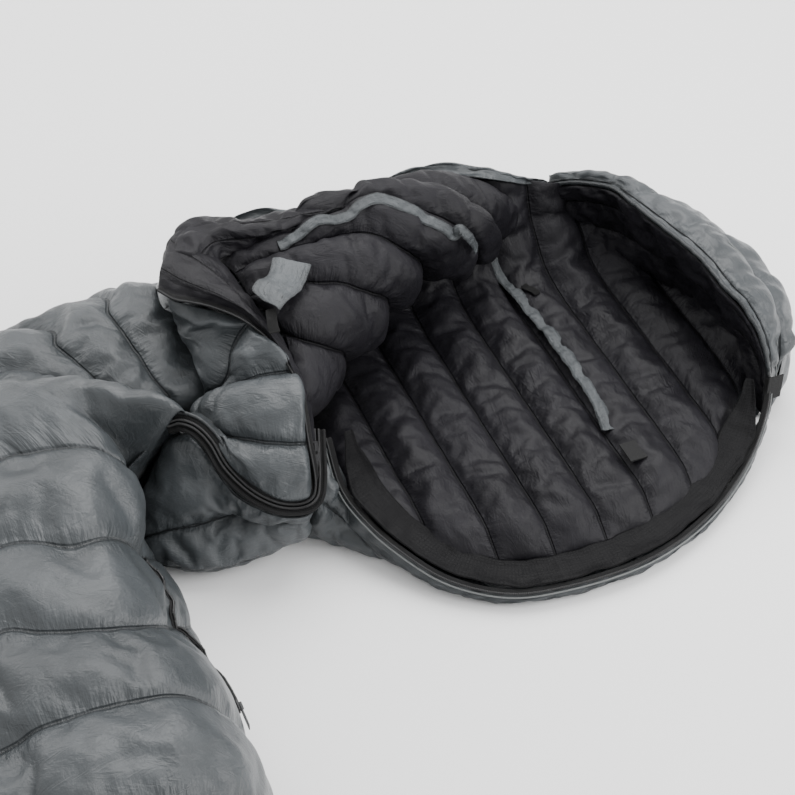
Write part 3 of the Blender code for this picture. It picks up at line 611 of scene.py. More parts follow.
def cordTube(name, material, look):
    # a closed round tube along a path; teeth make it swell and shrink along its length
    count, radius = look["count"], look["radius"]
    line, length = evenly(np.array(look["path"]) + np.array(planShift), count)
    if "on" in look:
        line, _ = pressedOn(line, surfaceTree(look["on"]), look.get("proud", 0.0008))
    ahead = np.gradient(line, axis=0)
    ahead /= np.linalg.norm(ahead, axis=1, keepdims=True)
    up = np.array(look.get("up", (0.0, 0.0, 1.0)), float)
    side = np.cross(ahead, up)
    side /= np.maximum(np.linalg.norm(side, axis=1, keepdims=True), 1e-6)
    face = np.cross(side, ahead)
    around = look.get("around", 8)
    line = line + side * look.get("aside", 0.0) + face * look.get("lift", 0.0)
    grid = np.zeros((around + 1, count, 3))
    swell = 1.0 + look.get("teeth", 0.0) * np.where(np.arange(count) % 4 < 2, 1.0, -1.0)
    for i in range(around + 1):
        turn = 2 * math.pi * i / around
        spoke = side * math.cos(turn) + face * math.sin(turn)
        grid[i] = line + spoke * (radius * swell)[:, None]
    uv = np.zeros((around + 1, count, 2))
    uv[..., 0] = np.linspace(0, length, count)[None, :]
    uv[..., 1] = np.linspace(0, radius * 6, around + 1)[:, None]
    piece, _ = gridObject(name, grid, {"cloth": uv, "metres": uv}, flip=True)
    bm = bmesh.new()
    bm.from_mesh(piece.data)
    bmesh.ops.remove_doubles(bm, verts=bm.verts, dist=radius * 0.02)
    bmesh.ops.holes_fill(bm, edges=bm.edges, sides=around + 2)
    bmesh.ops.recalc_face_normals(bm, faces=bm.faces)
    bm.to_mesh(piece.data)
    bm.free()
    piece.data.materials.append(material)
    return piece


def settle(piece, body, slotName, nodes=(), fill=None):
    # body None is for a piece that bends from one body to another
    if body:
        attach(piece, body)
    if nodes:
        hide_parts(*nodes)


# Torso.
print("torso panels")
torsoSeams = [(320, -275, 125), (255, -314, 150), (190, -335, 168), (125, -343, 176), (60, -341, 176),
              (-5, -324, 165), (-70, -289, 150), (-135, -215, 140), (-190, -169, 120)]


def torsoRow(x, front, tall):
    # one seam, from the zip edge at front over the floor to the back wall's top at tall
    ys = [front, front + 22, front + 50] + [y for y in (-160, -90, -20, 50) if y > front + 90]
    zs = [22, 34] + [42] * (len(ys) - 2) + [52, 80]
    wall = [int(tall * part + 0.5) for part in (0.68, 0.9, 1)]
    return [(x, y, z) for y, z in zip(ys + [105, 140, 163, 176, 182], zs + wall)]


torsoQuilt = {
    "loft": 0.017, "fade": (0.10, 0.0), "seed": 3.0, "excess": 0.035, "straight": 0.4, "pressure": 10.0,
    "rows": inMetres([
    [(452, -140, 40), (456, -90, 44), (458, -30, 46), (455, 30, 48), (440, 80, 52), (425, 115, 60)],
    [(385, -190, 34), (386, -150, 42), (386, -80, 42), (386, 0, 42), (386, 60, 44), (386, 110, 54),
     (386, 140, 80), (386, 150, 110)],
    ] + [torsoRow(*seam) for seam in torsoSeams]),
}
torsoLining = quilt("torsoLining", taffeta, torsoQuilt)

backQuilt = {
    "loft": [0.004, 0.006, 0.004], "seed": 5.0, "step": 0.007,
    "rows": inMetres([
    [(-270, 168, 100), (-160, 170, 125), (-100, 170, 150), (-30, 172, 168), (89, 194, 186), (119, 182, 192),
     (156, 170, 190), (197, 159, 180), (239, 162, 160), (288, 182, 128), (322, 160, 105)],
    [(-270, 196, 110), (-160, 200, 135), (-100, 198, 158), (-30, 196, 176), (89, 204, 194), (116, 195, 200),
     (150, 189, 200), (198, 175, 188), (244, 173, 164), (290, 189, 132), (326, 166, 108)],
    [(-270, 212, 70), (-160, 222, 80), (-100, 222, 95), (-30, 222, 105), (40, 224, 115), (90, 226, 120),
     (150, 226, 118), (210, 224, 105), (260, 216, 90), (300, 200, 75), (335, 158, 70)],
    [(-270, 200, 0), (-160, 205, 0), (-100, 205, 0), (-30, 205, 0), (40, 205, 0), (90, 205, 0),
     (150, 205, 0), (210, 204, 0), (260, 203, 0), (300, 190, 0), (332, 150, 0)],
    ]),
}
backShell = quilt("backShell", nylon, backQuilt)

underQuilt = {
    "loft": [0.014, 0.010], "seed": 7.0, "step": 0.005, "excess": 0.08,
    "rows": inMetres([
    [(-163, -162, 130), (-154, -159, 105), (-146, -170, 82), (-139, -190, 62), (-130, -212, 46),
     (-117, -241, 34), (-102, -272, 26), (-82, -304, 22), (-56, -329, 18)],
    [(-181, -205, 80), (-171, -204, 66), (-160, -206, 52), (-147, -216, 40), (-133, -232, 30),
     (-118, -251, 22), (-102, -272, 16), (-82, -298, 12), (-56, -324, 8)],
    [(-202, -181, 10), (-187, -193, 6), (-169, -207, 4), (-152, -220, 3), (-135, -235, 2), (-116, -251, 1),
     (-96, -271, 1), (-76, -295, 1), (-52, -322, 1)],
    ]),
}
underShell = quilt("underShell", nylon, underQuilt)

# The sheets that lie on the floor, flat and without down.
soleLook = {"loft": 0.0015, "step": 0.018, "lumps": 0.0, "uneven": 0.0, "facing": (0, 0, -1), "pressure": 0.5}
torsoSole = [
    (-260, -150, 23, 195), (-160, -165, 18, 200), (-100, -275, -38, 200), (-30, -350, -75, 200),
     (60, -372, -86, 200), (150, -370, -85, 200), (250, -340, -71, 198), (300, -300, -57, 185),
     (340, -270, -64, 142), (380, -225, -62, 100), (420, -195, -70, 55), (450, -165, -83, 0),
     (464, -120, -85, -50),
]
baseTorso = quilt("baseTorso", nylon, {
    **soleLook, "seed": 53.0, "rows": inMetres([[(x, y, 2) for y in ys] for x, *ys in torsoSole])})

# Grey knees and legs.
print("legs")
footRings = [
    (-1152, [(-573, 0), (-573, 3), (-573, 7), (-570, 9), (-567, 10), (-564, 10), (-562, 9), (-559, 7),
     (-558, 5), (-557, 2), (-558, 0)]),
    (-1148, [(-614, 0), (-616, 18), (-611, 40), (-597, 53), (-578, 58), (-561, 58), (-545, 54), (-530, 42),
     (-522, 29), (-520, 14), (-524, 0)]),
    (-1128, [(-662, 0), (-667, 36), (-658, 79), (-630, 107), (-590, 115), (-558, 115), (-525, 108),
     (-495, 85), (-479, 58), (-475, 29), (-482, 0)]),
    (-1075, [(-692, 0), (-698, 47), (-686, 103), (-650, 139), (-598, 150), (-556, 150), (-513, 141),
     (-474, 111), (-453, 75), (-448, 38), (-457, 0)]),
    (-985, [(-700, 0), (-706, 50), (-694, 110), (-655, 148), (-600, 160), (-555, 160), (-510, 150),
     (-468, 118), (-446, 80), (-440, 40), (-450, 0)]),
]
legRings = [
    (-860, -695, 155, [(-560, 180), (-510, 176), (-465, 155), (-432, 118), (-418, 80), (-413, 40),
     (-424, 0)]),
    (-735, -708, 158, [(-560, 184), (-510, 182), (-455, 165), (-416, 125), (-400, 80), (-394, 40),
     (-405, 0)]),
    (-610, -722, 160, [(-560, 186), (-500, 186), (-445, 170), (-402, 128), (-384, 78), (-378, 40),
     (-390, 0)]),
    (-490, -732, 162, [(-560, 188), (-490, 188), (-430, 172), (-392, 128), (-372, 74), (-366, 40),
     (-376, 0)]),
]
kneeRings = [
    (-385, -740, 165, [(-572, -359, 188), (-531, -378, 190), (-482, -389, 184), (-443, -384, 165),
     (-417, -363, 132), (-397, -333, 88), (-379, -311, 56), (-365, -290, 30), (-369, -272, 0)]),
    (-275, -746, 168, [(-547, -250, 190), (-511, -259, 193), (-479, -277, 192), (-442, -273, 185),
     (-417, -256, 150), (-404, -236, 108), (-388, -208, 66), (-373, -183, 32), (-377, -165, 0)]),
    (-165, -750, 168, [(-517, -124, 190), (-485, -129, 194), (-453, -136, 196), (-424, -145, 195),
     (-403, -156, 185), (-388, -161, 165), (-401, -138, 110), (-403, -116, 60), (-397, -105, 20)]),
    (-85, -748, 166, [(-495, -31, 190), (-462, -41, 196), (-428, -52, 200), (-394, -68, 202),
     (-362, -92, 202), (-335, -118, 200), (-323, -127, 188)]),
    (-35, -730, 160, [(-488, 7, 176), (-456, -7, 180), (-423, -25, 184), (-386, -44, 186), (-350, -70, 188),
     (-323, -97, 190), (-301, -124, 184)]),
    (-5, -715, 140, [(-483, 47, 150), (-451, 31, 152), (-417, 12, 154), (-380, -13, 156), (-345, -41, 158),
     (-316, -73, 160), (-294, -119, 165)]),
]


def hiddenSide(y, edge, tall):
    # the side that faces away, from the floor up to the crest
    return [(edge, y, 0), (edge - 20, y, 45), (edge - 5, y, 110), (edge + 60, y, tall),
            (edge + 140, y, tall + 12)]


legQuilt = {
    "loft": [0.010, 0.012, 0.013, 0.014, 0.014, 0.014, 0.014, 0.014, 0.014, 0.014, 0.015, 0.013],
    "seams": [0, 2, 3, 4, 5, 6, 7, 8, 9, 10, 11, 13, 14],
    "seed": 11.0, "step": 0.0082, "straight": 0.12, "pressure": 5.0, "excess": 0.05, "fade": (0.08, 0.26),
    "rows": inMetres(
        [[(x, y, z) for x, z in ring] for y, ring in footRings]
        + [hiddenSide(y, *side) + [(x, y, z) for x, z in ring] for y, *side, ring in legRings]
        + [hiddenSide(y, *side) + ring for y, *side, ring in kneeRings]),
}
legShell = quilt("legShell", nylon, legQuilt)
elbowQuilt = {
    "loft": 0.017, "seed": 13.0, "step": 0.0065, "straight": 0.2, "pressure": 7.0, "excess": 0.035,
    "rows": inMetres([
    [(-690, -40, 0), (-718, -40, 80), (-700, -25, 130), (-640, -4, 150), (-575, 14, 157), (-520, 32, 157),
     (-483, 28, 150), (-455, 10, 142), (-434, -8, 130), (-422, -18, 110)],
    [(-740, -20, 0), (-730, -30, 100), (-544, 82, 160), (-514, 55, 165), (-483, 36, 165), (-461, 20, 165),
     (-438, 6, 160), (-426, -10, 150), (-418, -12, 120)],
    [(-600, 130, 0), (-575, 115, 90), (-419, 113, 150), (-408, 66, 165), (-398, 42, 165), (-388, 18, 162),
     (-376, -7, 156), (-368, -24, 145), (-365, -29, 120)],
    [(-460, 190, 0), (-450, 175, 90), (-337, 146, 150), (-335, 100, 165), (-329, 62, 165), (-323, 25, 162),
     (-316, -17, 156), (-306, -45, 145), (-306, -53, 120)],
    [(-340, 200, 0), (-335, 185, 90), (-263, 131, 150), (-258, 96, 158), (-256, 65, 158), (-255, 32, 152),
     (-254, 1, 146), (-257, -33, 140), (-266, -49, 118)],
    [(-240, 200, 0), (-235, 185, 90), (-200, 118, 150), (-205, 68, 165), (-206, 32, 168), (-209, 2, 165),
     (-214, -19, 155), (-233, -37, 145), (-257, -52, 118)],
    ]),
}
elbowShell = quilt("elbowShell", nylon, elbowQuilt)
fanQuilt = {
    "loft": [0.022, 0.020, 0.024, 0.014], "seed": 17.0, "step": 0.005, "fade": (0.04, 0.04), "pressure": 8.0,
    "rows": inMetres([
    [(-283, -57, 125), (-263, -55, 148), (-262, -43, 160), (-261, -12, 165), (-261, 24, 172),
     (-264, 50, 185), (-280, 26, 232)],
    [(-281, -60, 125), (-262, -61, 150), (-250, -72, 165), (-237, -72, 182), (-226, -57, 200),
     (-215, -51, 216), (-203, -52, 234)],
    [(-281, -65, 127), (-267, -67, 150), (-250, -86, 175), (-226, -99, 190), (-202, -107, 197),
     (-183, -113, 200), (-170, -114, 198)],
    [(-288, -75, 130), (-283, -109, 152), (-270, -145, 160), (-252, -163, 164), (-229, -180, 166),
     (-206, -188, 163), (-186, -192, 160)],
    [(-301, -100, 150), (-293, -125, 170), (-287, -155, 168), (-276, -187, 150), (-255, -209, 130),
     (-229, -226, 115), (-194, -227, 106)],
    ]),
}
fanShell = quilt("fanShell", nylon, fanQuilt)
bulgeQuilt = {
    "loft": [0.018, 0.012, 0.002], "seed": 19.0, "step": 0.005, "excess": 0.06, "pressure": 6.0,
    "rows": inMetres([
    [(-323, -86, 120), (-317, -111, 150), (-304, -126, 160), (-294, -149, 155), (-288, -169, 142),
     (-281, -193, 128), (-264, -212, 114), (-241, -230, 104), (-215, -239, 98), (-197, -236, 96)],
    [(-381, -147, 35), (-369, -160, 50), (-352, -169, 60), (-333, -176, 66), (-313, -181, 70),
     (-293, -183, 74), (-270, -188, 78), (-249, -205, 80), (-225, -224, 80), (-200, -230, 78)],
    [(-377, -151, 10), (-369, -174, 18), (-352, -191, 22), (-331, -205, 24), (-310, -212, 24),
     (-288, -216, 26), (-264, -218, 30), (-238, -216, 34), (-215, -213, 40), (-193, -214, 50)],
    [(-369, -138, 0), (-358, -149, 0), (-342, -159, 0), (-322, -167, 0), (-302, -172, 0), (-279, -172, 0),
     (-257, -171, 0), (-233, -169, 0), (-209, -164, 0), (-186, -163, 0)],
    ]),
}
bulgeShell = quilt("bulgeShell", nylon, bulgeQuilt)
pocketQuilt = {
    "loft": 0.006, "seed": 23.0, "step": 0.006,
    "rows": inMetres([
    [(-317, -119, 176), (-329, -109, 168), (-351, -118, 150), (-380, -123, 128), (-406, -129, 100),
     (-416, -130, 62), (-408, -121, 30)],
    [(-309, -100, 140), (-321, -87, 120), (-341, -80, 92), (-359, -80, 62), (-376, -90, 36),
     (-387, -104, 18), (-390, -119, 10)],
    [(-300, -106, 130), (-317, -99, 100), (-333, -98, 76), (-347, -103, 54), (-359, -113, 36),
     (-366, -125, 20), (-371, -137, 10)],
    ]),
}
pocketShell = quilt("pocketShell", nylon, pocketQuilt)
pocketFoldQuilt = {
    "loft": 0.006, "seed": 29.0, "step": 0.005,
    "rows": inMetres([
    [(-405, -128, 92), (-394, -118, 98), (-385, -110, 102), (-373, -102, 98)],
    [(-405, -127, 72), (-393, -128, 78), (-379, -122, 80), (-364, -112, 74)],
    [(-400, -127, 50), (-390, -134, 52), (-379, -131, 52), (-366, -118, 48)],
    [(-385, -126, 26), (-379, -129, 26), (-372, -127, 26), (-365, -119, 24)],
    ]),
}
pocketFold = quilt("pocketFold", nylon, pocketFoldQuilt)

soleHeight = 0.0015
soleRows = [[(x, y, soleHeight) for x, y, z in (row[0], (row[0] + row[-1]) / 2, row[-1])]
            for row in legQuilt["rows"][:-3]]
baseLegs = quilt("baseLegs", nylon, {**soleLook, "seed": 59.0, "rows": soleRows})
foldQuilt = {
    "loft": 0.012, "seed": 61.0, "step": 0.008, "facing": (0, 0, 1), "pressure": 6.0,
    "rows": inMetres([
    [(-182, -150, 150), (-178, -138, 146), (-174, -128, 140)],
    [(-182, -112, 168), (-165, -100, 158), (-148, -85, 140)],
    [(-208, -50, 200), (-165, -42, 176), (-125, -32, 164), (-85, -20, 136)],
    [(-245, -8, 208), (-180, 10, 182), (-100, 25, 170), (-15, 35, 138)],
    [(-282, 30, 214), (-200, 60, 190), (-100, 75, 180), (85, 85, 152)],
    [(-274, 100, 190), (-200, 115, 184), (-100, 125, 180), (140, 130, 155)],
    [(-262, 158, 135), (-180, 172, 152), (-60, 176, 165), (190, 170, 165)],
    ]),
}
foldTop = quilt("foldTop", nylon, foldQuilt)

# Flap.
print("flap")
flapQuilt = {
    "loft": [0.016, 0.020, 0.022, 0.022, 0.018, 0.010], "seed": 31.0, "step": 0.005, "fade": (0.05, 0.05),
    "excess": 0.030, "pressure": 10.0,
    "rows": inMetres([
    [(-171, -126, 168), (-171, -135, 166), (-169, -135, 158), (-166, -131, 145), (-161, -121, 125)],
    [(-164, -46, 200), (-150, -63, 198), (-132, -70, 190), (-113, -67, 175), (-94, -52, 150),
     (-88, -29, 110)],
    [(-185, 4, 222), (-153, 5, 222), (-126, 6, 222), (-100, -2, 220), (-74, -6, 214), (-50, -10, 200),
     (-16, 1, 168), (-7, 35, 115)],
    [(-189, 48, 225), (-153, 51, 230), (-117, 53, 233), (-88, 52, 234), (-45, 56, 234), (-13, 48, 230),
     (17, 41, 208), (51, 54, 165), (61, 86, 110)],
    [(-193, 85, 226), (-157, 84, 230), (-124, 80, 240), (-85, 85, 246), (-49, 82, 247), (-14, 94, 247),
     (16, 97, 244), (41, 86, 234), (86, 73, 210), (114, 68, 185), (138, 72, 148), (142, 101, 100)],
    [(-86, 104, 242), (-47, 103, 244), (-6, 115, 240), (32, 121, 236), (71, 126, 228), (106, 120, 216),
     (137, 114, 196), (164, 110, 166), (181, 122, 120), (179, 131, 90)],
    [(30, 132, 226), (65, 153, 216), (98, 166, 206), (129, 173, 196), (159, 170, 186), (187, 163, 174),
     (211, 155, 158), (232, 156, 130), (244, 166, 100)],
    ]),
}
flapLining = quilt("flapLining", taffeta, flapQuilt)
collarQuilt = {
    "loft": [0.004, 0.010, 0.006], "seed": 37.0, "step": 0.005, "excess": 0.10, "fade": (0.03, 0.03),
    "pressure": 6.0,
    "rows": inMetres([
    [(-261, 102, 215), (-258, 112, 225), (-237, 128, 235), (-213, 145, 240), (-183, 140, 238),
     (-154, 130, 238), (-120, 126, 236), (-81, 119, 236), (-45, 111, 236), (-19, 109, 236)],
    [(-259, 67, 250), (-248, 85, 254), (-228, 108, 256), (-209, 114, 258), (-184, 104, 258), (-159, 94, 258),
     (-129, 88, 258), (-92, 84, 258), (-58, 81, 258), (-28, 85, 254)],
    [(-233, 54, 252), (-226, 60, 254), (-213, 70, 255), (-201, 77, 254), (-183, 77, 253), (-162, 74, 252),
     (-137, 73, 252), (-108, 77, 252), (-71, 81, 252), (-34, 86, 250)],
    [(-210, 61, 240), (-201, 64, 238), (-192, 69, 236), (-184, 73, 232), (-169, 78, 230), (-154, 80, 230),
     (-136, 79, 232), (-116, 78, 236), (-87, 83, 242), (-47, 87, 246)],
    ]),
}
flapCollar = quilt("flapCollar", taffeta, collarQuilt)
tubeQuilt = {
    "loft": [0.001, 0.004, 0.004], "seed": 41.0, "step": 0.005, "excess": 0.02,
    "rows": inMetres([
    [(-288, 27, 250), (-274, 4, 250), (-258, -7, 249), (-236, -23, 247), (-209, -50, 241), (-187, -82, 224),
     (-176, -115, 204), (-176, -147, 186), (-184, -188, 163), (-186, -211, 126)],
    [(-278, 47, 262), (-263, 16, 263), (-246, -5, 262), (-227, -26, 259), (-207, -51, 251), (-190, -81, 235),
     (-178, -112, 214), (-175, -142, 192), (-178, -171, 168), (-180, -200, 130)],
    [(-251, 98, 258), (-239, 58, 260), (-225, 33, 256), (-212, 6, 250), (-201, -25, 244), (-188, -56, 232),
     (-174, -80, 212), (-168, -114, 188), (-170, -147, 164), (-174, -186, 132)],
    [(-226, 125, 252), (-216, 92, 252), (-204, 70, 240), (-195, 37, 232), (-189, -2, 228), (-181, -34, 220),
     (-169, -62, 204), (-159, -93, 176), (-162, -127, 150), (-166, -167, 128)],
    ]),
}
flapTube = quilt("flapTube", taffeta, tubeQuilt)
flapOuterQuilt = {
    "loft": [0.008, 0.014, 0.016, 0.016, 0.016, 0.010], "seed": 67.0, "step": 0.007, "facing": (0.1, 0.2, -1),
    "pressure": 6.0,
    "rows": inMetres([
    [(-167, -126, 166), (-166, -126, 158), (-165, -126, 150), (-163, -125, 142)],
    [(-159, -58, 188), (-144, -58, 180), (-127, -52, 166), (-105, -27, 135)],
    [(-188, -2, 205), (-138, 0, 200), (-78, 7, 185), (-19, 51, 122)],
    [(-229, 38, 214), (-141, 60, 204), (-41, 71, 194), (22, 72, 168), (52, 92, 118)],
    [(-245, 81, 214), (-163, 110, 208), (-38, 113, 200), (69, 95, 175), (135, 92, 112)],
    [(-234, 125, 212), (-143, 149, 208), (-28, 141, 202), (86, 137, 188), (172, 123, 105)],
    [(-207, 154, 216), (-121, 150, 210), (-11, 139, 205), (116, 176, 175), (239, 164, 106)],
    ]),
}
flapShell = quilt("flapShell", nylon, flapOuterQuilt)

# Hood.
print("hood")
hoodPlan = {
    "rim": metres(
    [(293, 186, 125), (314, 149, 150), (336, 98, 172), (341, 62, 178), (351, -6, 182), (366, -82, 182),
     (371, -145, 176), (385, -189, 160), (392, -215, 128), (399, -220, 100), (408, -215, 70)]),
    "outer": metres(
    [(300, 198, 125), (328, 162, 145), (360, 130, 150), (407, 83, 145), (451, 10, 135), (465, -25, 130),
     (474, -68, 120), (466, -135, 110), (451, -173, 95), (438, -192, 75), (432, -202, 50)]),
    "middle": np.array((0.30, -0.01, 0.0)),
    "points": 14,
}


def hoodRing(share, rise=0.0):
    # a line between the rim and the outer edge, share of the way out
    rim, outer = (evenly(hoodPlan[key], hoodPlan["points"])[0] for key in ("rim", "outer"))
    line = rim * (1 - share) + outer * share
    line[:, 2] += rise
    return line


def hoodFoot(scale, height):
    # the outer edge scaled about the hood's middle, at one height
    outer = evenly(hoodPlan["outer"], hoodPlan["points"])[0]
    line = hoodPlan["middle"] + (outer - hoodPlan["middle"]) * scale
    line[:, 2] = height
    return line


hoodShell = quilt("hoodShell", nylon, {
    "loft": [0.003, 0.010, 0.016, 0.010], "seed": 43.0, "step": 0.006, "excess": 0.05,
    "rows": [hoodRing(0.0), hoodRing(0.14, 0.004), hoodRing(0.62, 0.010), hoodFoot(1.0, 0.085),
             hoodFoot(0.985, 0.0)]})
hoodLining = quilt("hoodLining", taffeta, {
    "loft": 0.008, "seed": 47.0, "step": 0.006, "excess": 0.06, "mostMove": 0.008,
    "rows": [hoodRing(0.0, -0.003), hoodRing(0.22, -0.030), hoodRing(0.45, -0.070), hoodFoot(0.74, 0.042)]})

# The unzipped edge, round the lobe from the fold to the hood.
lobe = metres(
    [(-151, -168, 135), (-147, -202, 85), (-131, -240, 60), (-108, -276, 42), (-77, -320, 30),
     (-41, -351, 24), (-1, -372, 22), (46, -381, 22), (105, -384, 22), (160, -379, 22), (215, -363, 22),
     (265, -340, 24), (310, -311, 28), (350, -279, 36), (385, -243, 55), (398, -222, 85)])
lobeMiddle = Vector((0.105, -0.17, 0))


def inside(path, distance, rise):
    # the same line, drawn in towards the lobe's middle
    moved = []
    for x, y, z in path:
        away = (Vector((x, y, 0)) - lobeMiddle).normalized()
        moved.append((x - away.x * distance, y - away.y * distance, z + rise))
    return moved


lobeSkirt = quilt("lobeSkirt", nylon, {
    "loft": 0.003, "seed": 71.0, "step": 0.006, "pressure": 2.0,
    "rows": [inside(lobe, -0.002, -0.004),
             [(x, y, z * 0.45) for x, y, z in inside(lobe, -0.007, 0.0)],
             [(x, y, 0.0012) for x, y, z in inside(lobe, 0.004, 0.0)]]})

finishQuilts()

# Strips and cords.
print("trim")
stiffener = ribbon("stiffenerBand", ripstop, {
    "path": inside(lobe, 0.022, 0.004), "width": 0.040, "count": 170, "across": 11, "crinkle": 0.0026,
    "tight": 55.0, "taper": 0.75, "flip": True})
openTape = ribbon("openZipTape", zipTape, {
    "path": inside(lobe, -0.002, 0.001), "width": 0.007, "count": 200, "across": 3})
openCoil = cordTube("openZipCoil", coilPlastic, {
    "path": inside(lobe, -0.0055, 0.001), "radius": 0.0014, "count": 1500, "teeth": 0.22, "around": 6})
openPiping = cordTube("openPiping", pipingGrey, {
    "path": inside(lobe, -0.0085, -0.0030), "radius": 0.0011, "count": 300})

closedZip = {
    "up": (-0.1, -0.70, 0.70),
    "path": metres(
    [(-167, -165, 150), (-176, -192, 138), (-184, -214, 122), (-194, -230, 112), (-212, -232, 108),
     (-238, -227, 116), (-262, -210, 130), (-281, -184, 150), (-289, -158, 168), (-300, -141, 180),
     (-314, -127, 182), (-327, -121, 178)]),
}
closedTape = ribbon("closedZipTape", zipTape, {
    **closedZip, "width": 0.021, "count": 160, "across": 7, "lift": 0.001})
closedCoils = [cordTube(f"closedZipCoil{number}", coilPlastic, {
    **closedZip, "radius": 0.0021, "count": 900, "teeth": 0.15, "around": 6, "aside": aside, "lift": 0.0025})
    for number, aside in enumerate((-0.0022, 0.0022))]
zipWelts = [cordTube(f"closedZipWelt{number}", nylon if number else zipTape, {
    **closedZip, "radius": 0.0024, "count": 160, "aside": aside, "lift": 0.0012})
    for number, aside in enumerate((-0.0085, 0.0105))]
legPath = metres(
    [(-408, -249, 100), (-405, -277, 92), (-401, -305, 86), (-389, -333, 70), (-374, -358, 56),
     (-362, -400, 56), (-362, -440, 56)])
legTape = ribbon("legZipTape", zipTape, {
    "path": legPath, "width": 0.013, "count": 90, "across": 5, "on": legShell, "proud": 0.0018})
legCoil = cordTube("legZipCoil", coilPlastic, {
    "path": legPath, "radius": 0.0017, "count": 600, "teeth": 0.15, "around": 6, "on": legShell,
    "proud": 0.0030})
edgePath = metres(
    [(-288, 25, 252), (-275, 2, 252), (-259, -9, 251), (-237, -25, 249), (-210, -53, 243), (-187, -84, 226),
     (-176, -118, 206), (-176, -149, 188), (-184, -191, 166), (-185, -210, 135), (-187, -218, 120)])
flapTape = ribbon("flapZipTape", zipTape, {
    "path": edgePath, "width": 0.008, "count": 120, "across": 3, "up": (0.2, -0.4, 0.9)})
flapCoil = cordTube("flapZipCoil", coilPlastic, {
    "path": edgePath + np.array((-0.002, -0.003, 0.0)), "radius": 0.0015, "count": 900, "teeth": 0.2,
    "around": 6})

tapeWeave = {"count": 150, "across": 7, "crinkle": 0.0020}
collarTape = ribbon("collarTape", greyTape, {
    **tapeWeave, "width": 0.018, "over": torsoLining, "lift": 0.003,
    "path": metres(
    [(190, 171, 56), (192, 113, 64), (200, 50, 66), (203, -24, 66), (203, -104, 66), (202, -161, 66),
     (194, -203, 62)])})
flapCollarTape = ribbon("flapCollarTape", greyTape, {
    **tapeWeave, "width": 0.014, "over": flapLining, "lift": 0.0025, "up": (-0.2, -0.5, 0.85),
    "path": metres(
    [(-130, 56, 262), (-105, 59, 267), (-77, 62, 268), (-51, 60, 268), (-23, 69, 268), (5, 72, 266),
     (30, 61, 256), (56, 52, 244), (86, 42, 226), (109, 36, 200), (127, 48, 165)])})

hoodPiping = cordTube("hoodPiping", pipingGrey, {
    "path": hoodRing(0.50, 0.010), "radius": 0.0009, "count": 160, "on": hoodShell})
hoodRimRoll = cordTube("hoodRimRoll", nylon, {
    "path": hoodRing(0.02, 0.001), "radius": 0.0030, "count": 160, "on": hoodShell, "proud": 0.0})
hoodRimSeam = cordTube("hoodRimSeam", nylon, {
    "path": hoodRing(0.15, 0.006), "radius": 0.0006, "count": 160, "on": hoodShell})

# The grip tab lies over the flap's puffs like a stiff cloth.
gripPlan = {
    "across": 15, "along": 26, "width": 0.042, "length": 0.072, "lift": 0.0026, "passes": 140,
    "wall": 0.0014, "waves": (0.0028, 70), "ripples": (0.0010, 210), "seamsPerMetre": 24,
    "edges": inMetres([
    [(-147, 30, 262), (-157, 10, 262), (-167, -6, 262), (-180, -16, 260), (-192, -28, 258), (-189, -46, 256),
     (-182, -61, 254)],
    [(-106, 7, 262), (-116, -9, 262), (-128, -28, 262), (-139, -43, 262), (-151, -56, 261), (-162, -66, 259),
     (-174, -76, 256)],
    ]),
}
gripShares = [k / (gripPlan["across"] - 1) for k in range(gripPlan["across"])]
gripEdges = [evenly(edge + np.array(planShift), gripPlan["along"])[0] for edge in gripPlan["edges"]]
gripGrid = np.stack([gripEdges[0] * (1 - share) + gripEdges[1] * share for share in gripShares])
gripGrid = draped(gripGrid, surfaceTree(flapLining), gripPlan["lift"], gripPlan["passes"])
for spot in gripGrid.reshape(-1, 3):
    spot[2] += sum(high * noise.noise(Vector(spot) * often)
                   for high, often in (gripPlan["waves"], gripPlan["ripples"]))
gripUv = spanned(np.linspace(0, gripPlan["length"], gripPlan["along"]),
                 np.linspace(0, gripPlan["width"], gripPlan["across"]))
gripUvs = {"cloth": gripUv * (1, gripPlan["seamsPerMetre"]), "metres": gripUv}
gripTab, _ = gridObject("gripTab", gripGrid, gripUvs)
gripTab.data.materials.append(greyTape)
addWall(gripTab, gripPlan["wall"], -1.0)


def stitchBox(name, along, wide, grid, plan):
    # a thin sewn line, a little box on the tab
    corners = [(along[i], wide[j]) for i, j in ((0, 0), (1, 0), (1, 1), (0, 1), (0, 0))]
    path = []
    for (u0, v0), (u1, v1) in zip(corners, corners[1:]):
        for k in range(12):
            u, v = u0 + (u1 - u0) * k / 12, v0 + (v1 - v0) * k / 12
            spot = grid[round(u * (grid.shape[0] - 1)), round(v * (grid.shape[1] - 1))]
            path.append(tuple(spot - np.array(planShift) + np.array(plan["off"])))
    return cordTube(name, threadGrey, {**plan, "path": path})


gripStitch = stitchBox("gripStitch1", (0.30, 0.78), (0.46, 0.86), gripGrid, {
    "radius": 0.00035, "count": 150, "around": 6, "off": (0, -0.0003, 0.0012)})
gripHook = ribbon("gripHook", hookTape, {
    "width": 0.013, "count": 24, "across": 5, "crinkle": 0.001, "over": flapLining, "lift": 0.003,
    "path": metres(
    [(-180, -61, 250), (-184, -76, 250), (-187, -87, 248), (-188, -97, 246)])})
labelTag = ribbon("labelTag", hookTape, {
    "width": 0.011, "count": 16, "across": 5, "crinkle": 0.0006, "over": torsoLining, "lift": 0.002,
    "path": metres(
    [(210, 78, 70), (214, 67, 70), (219, 52, 70)])})

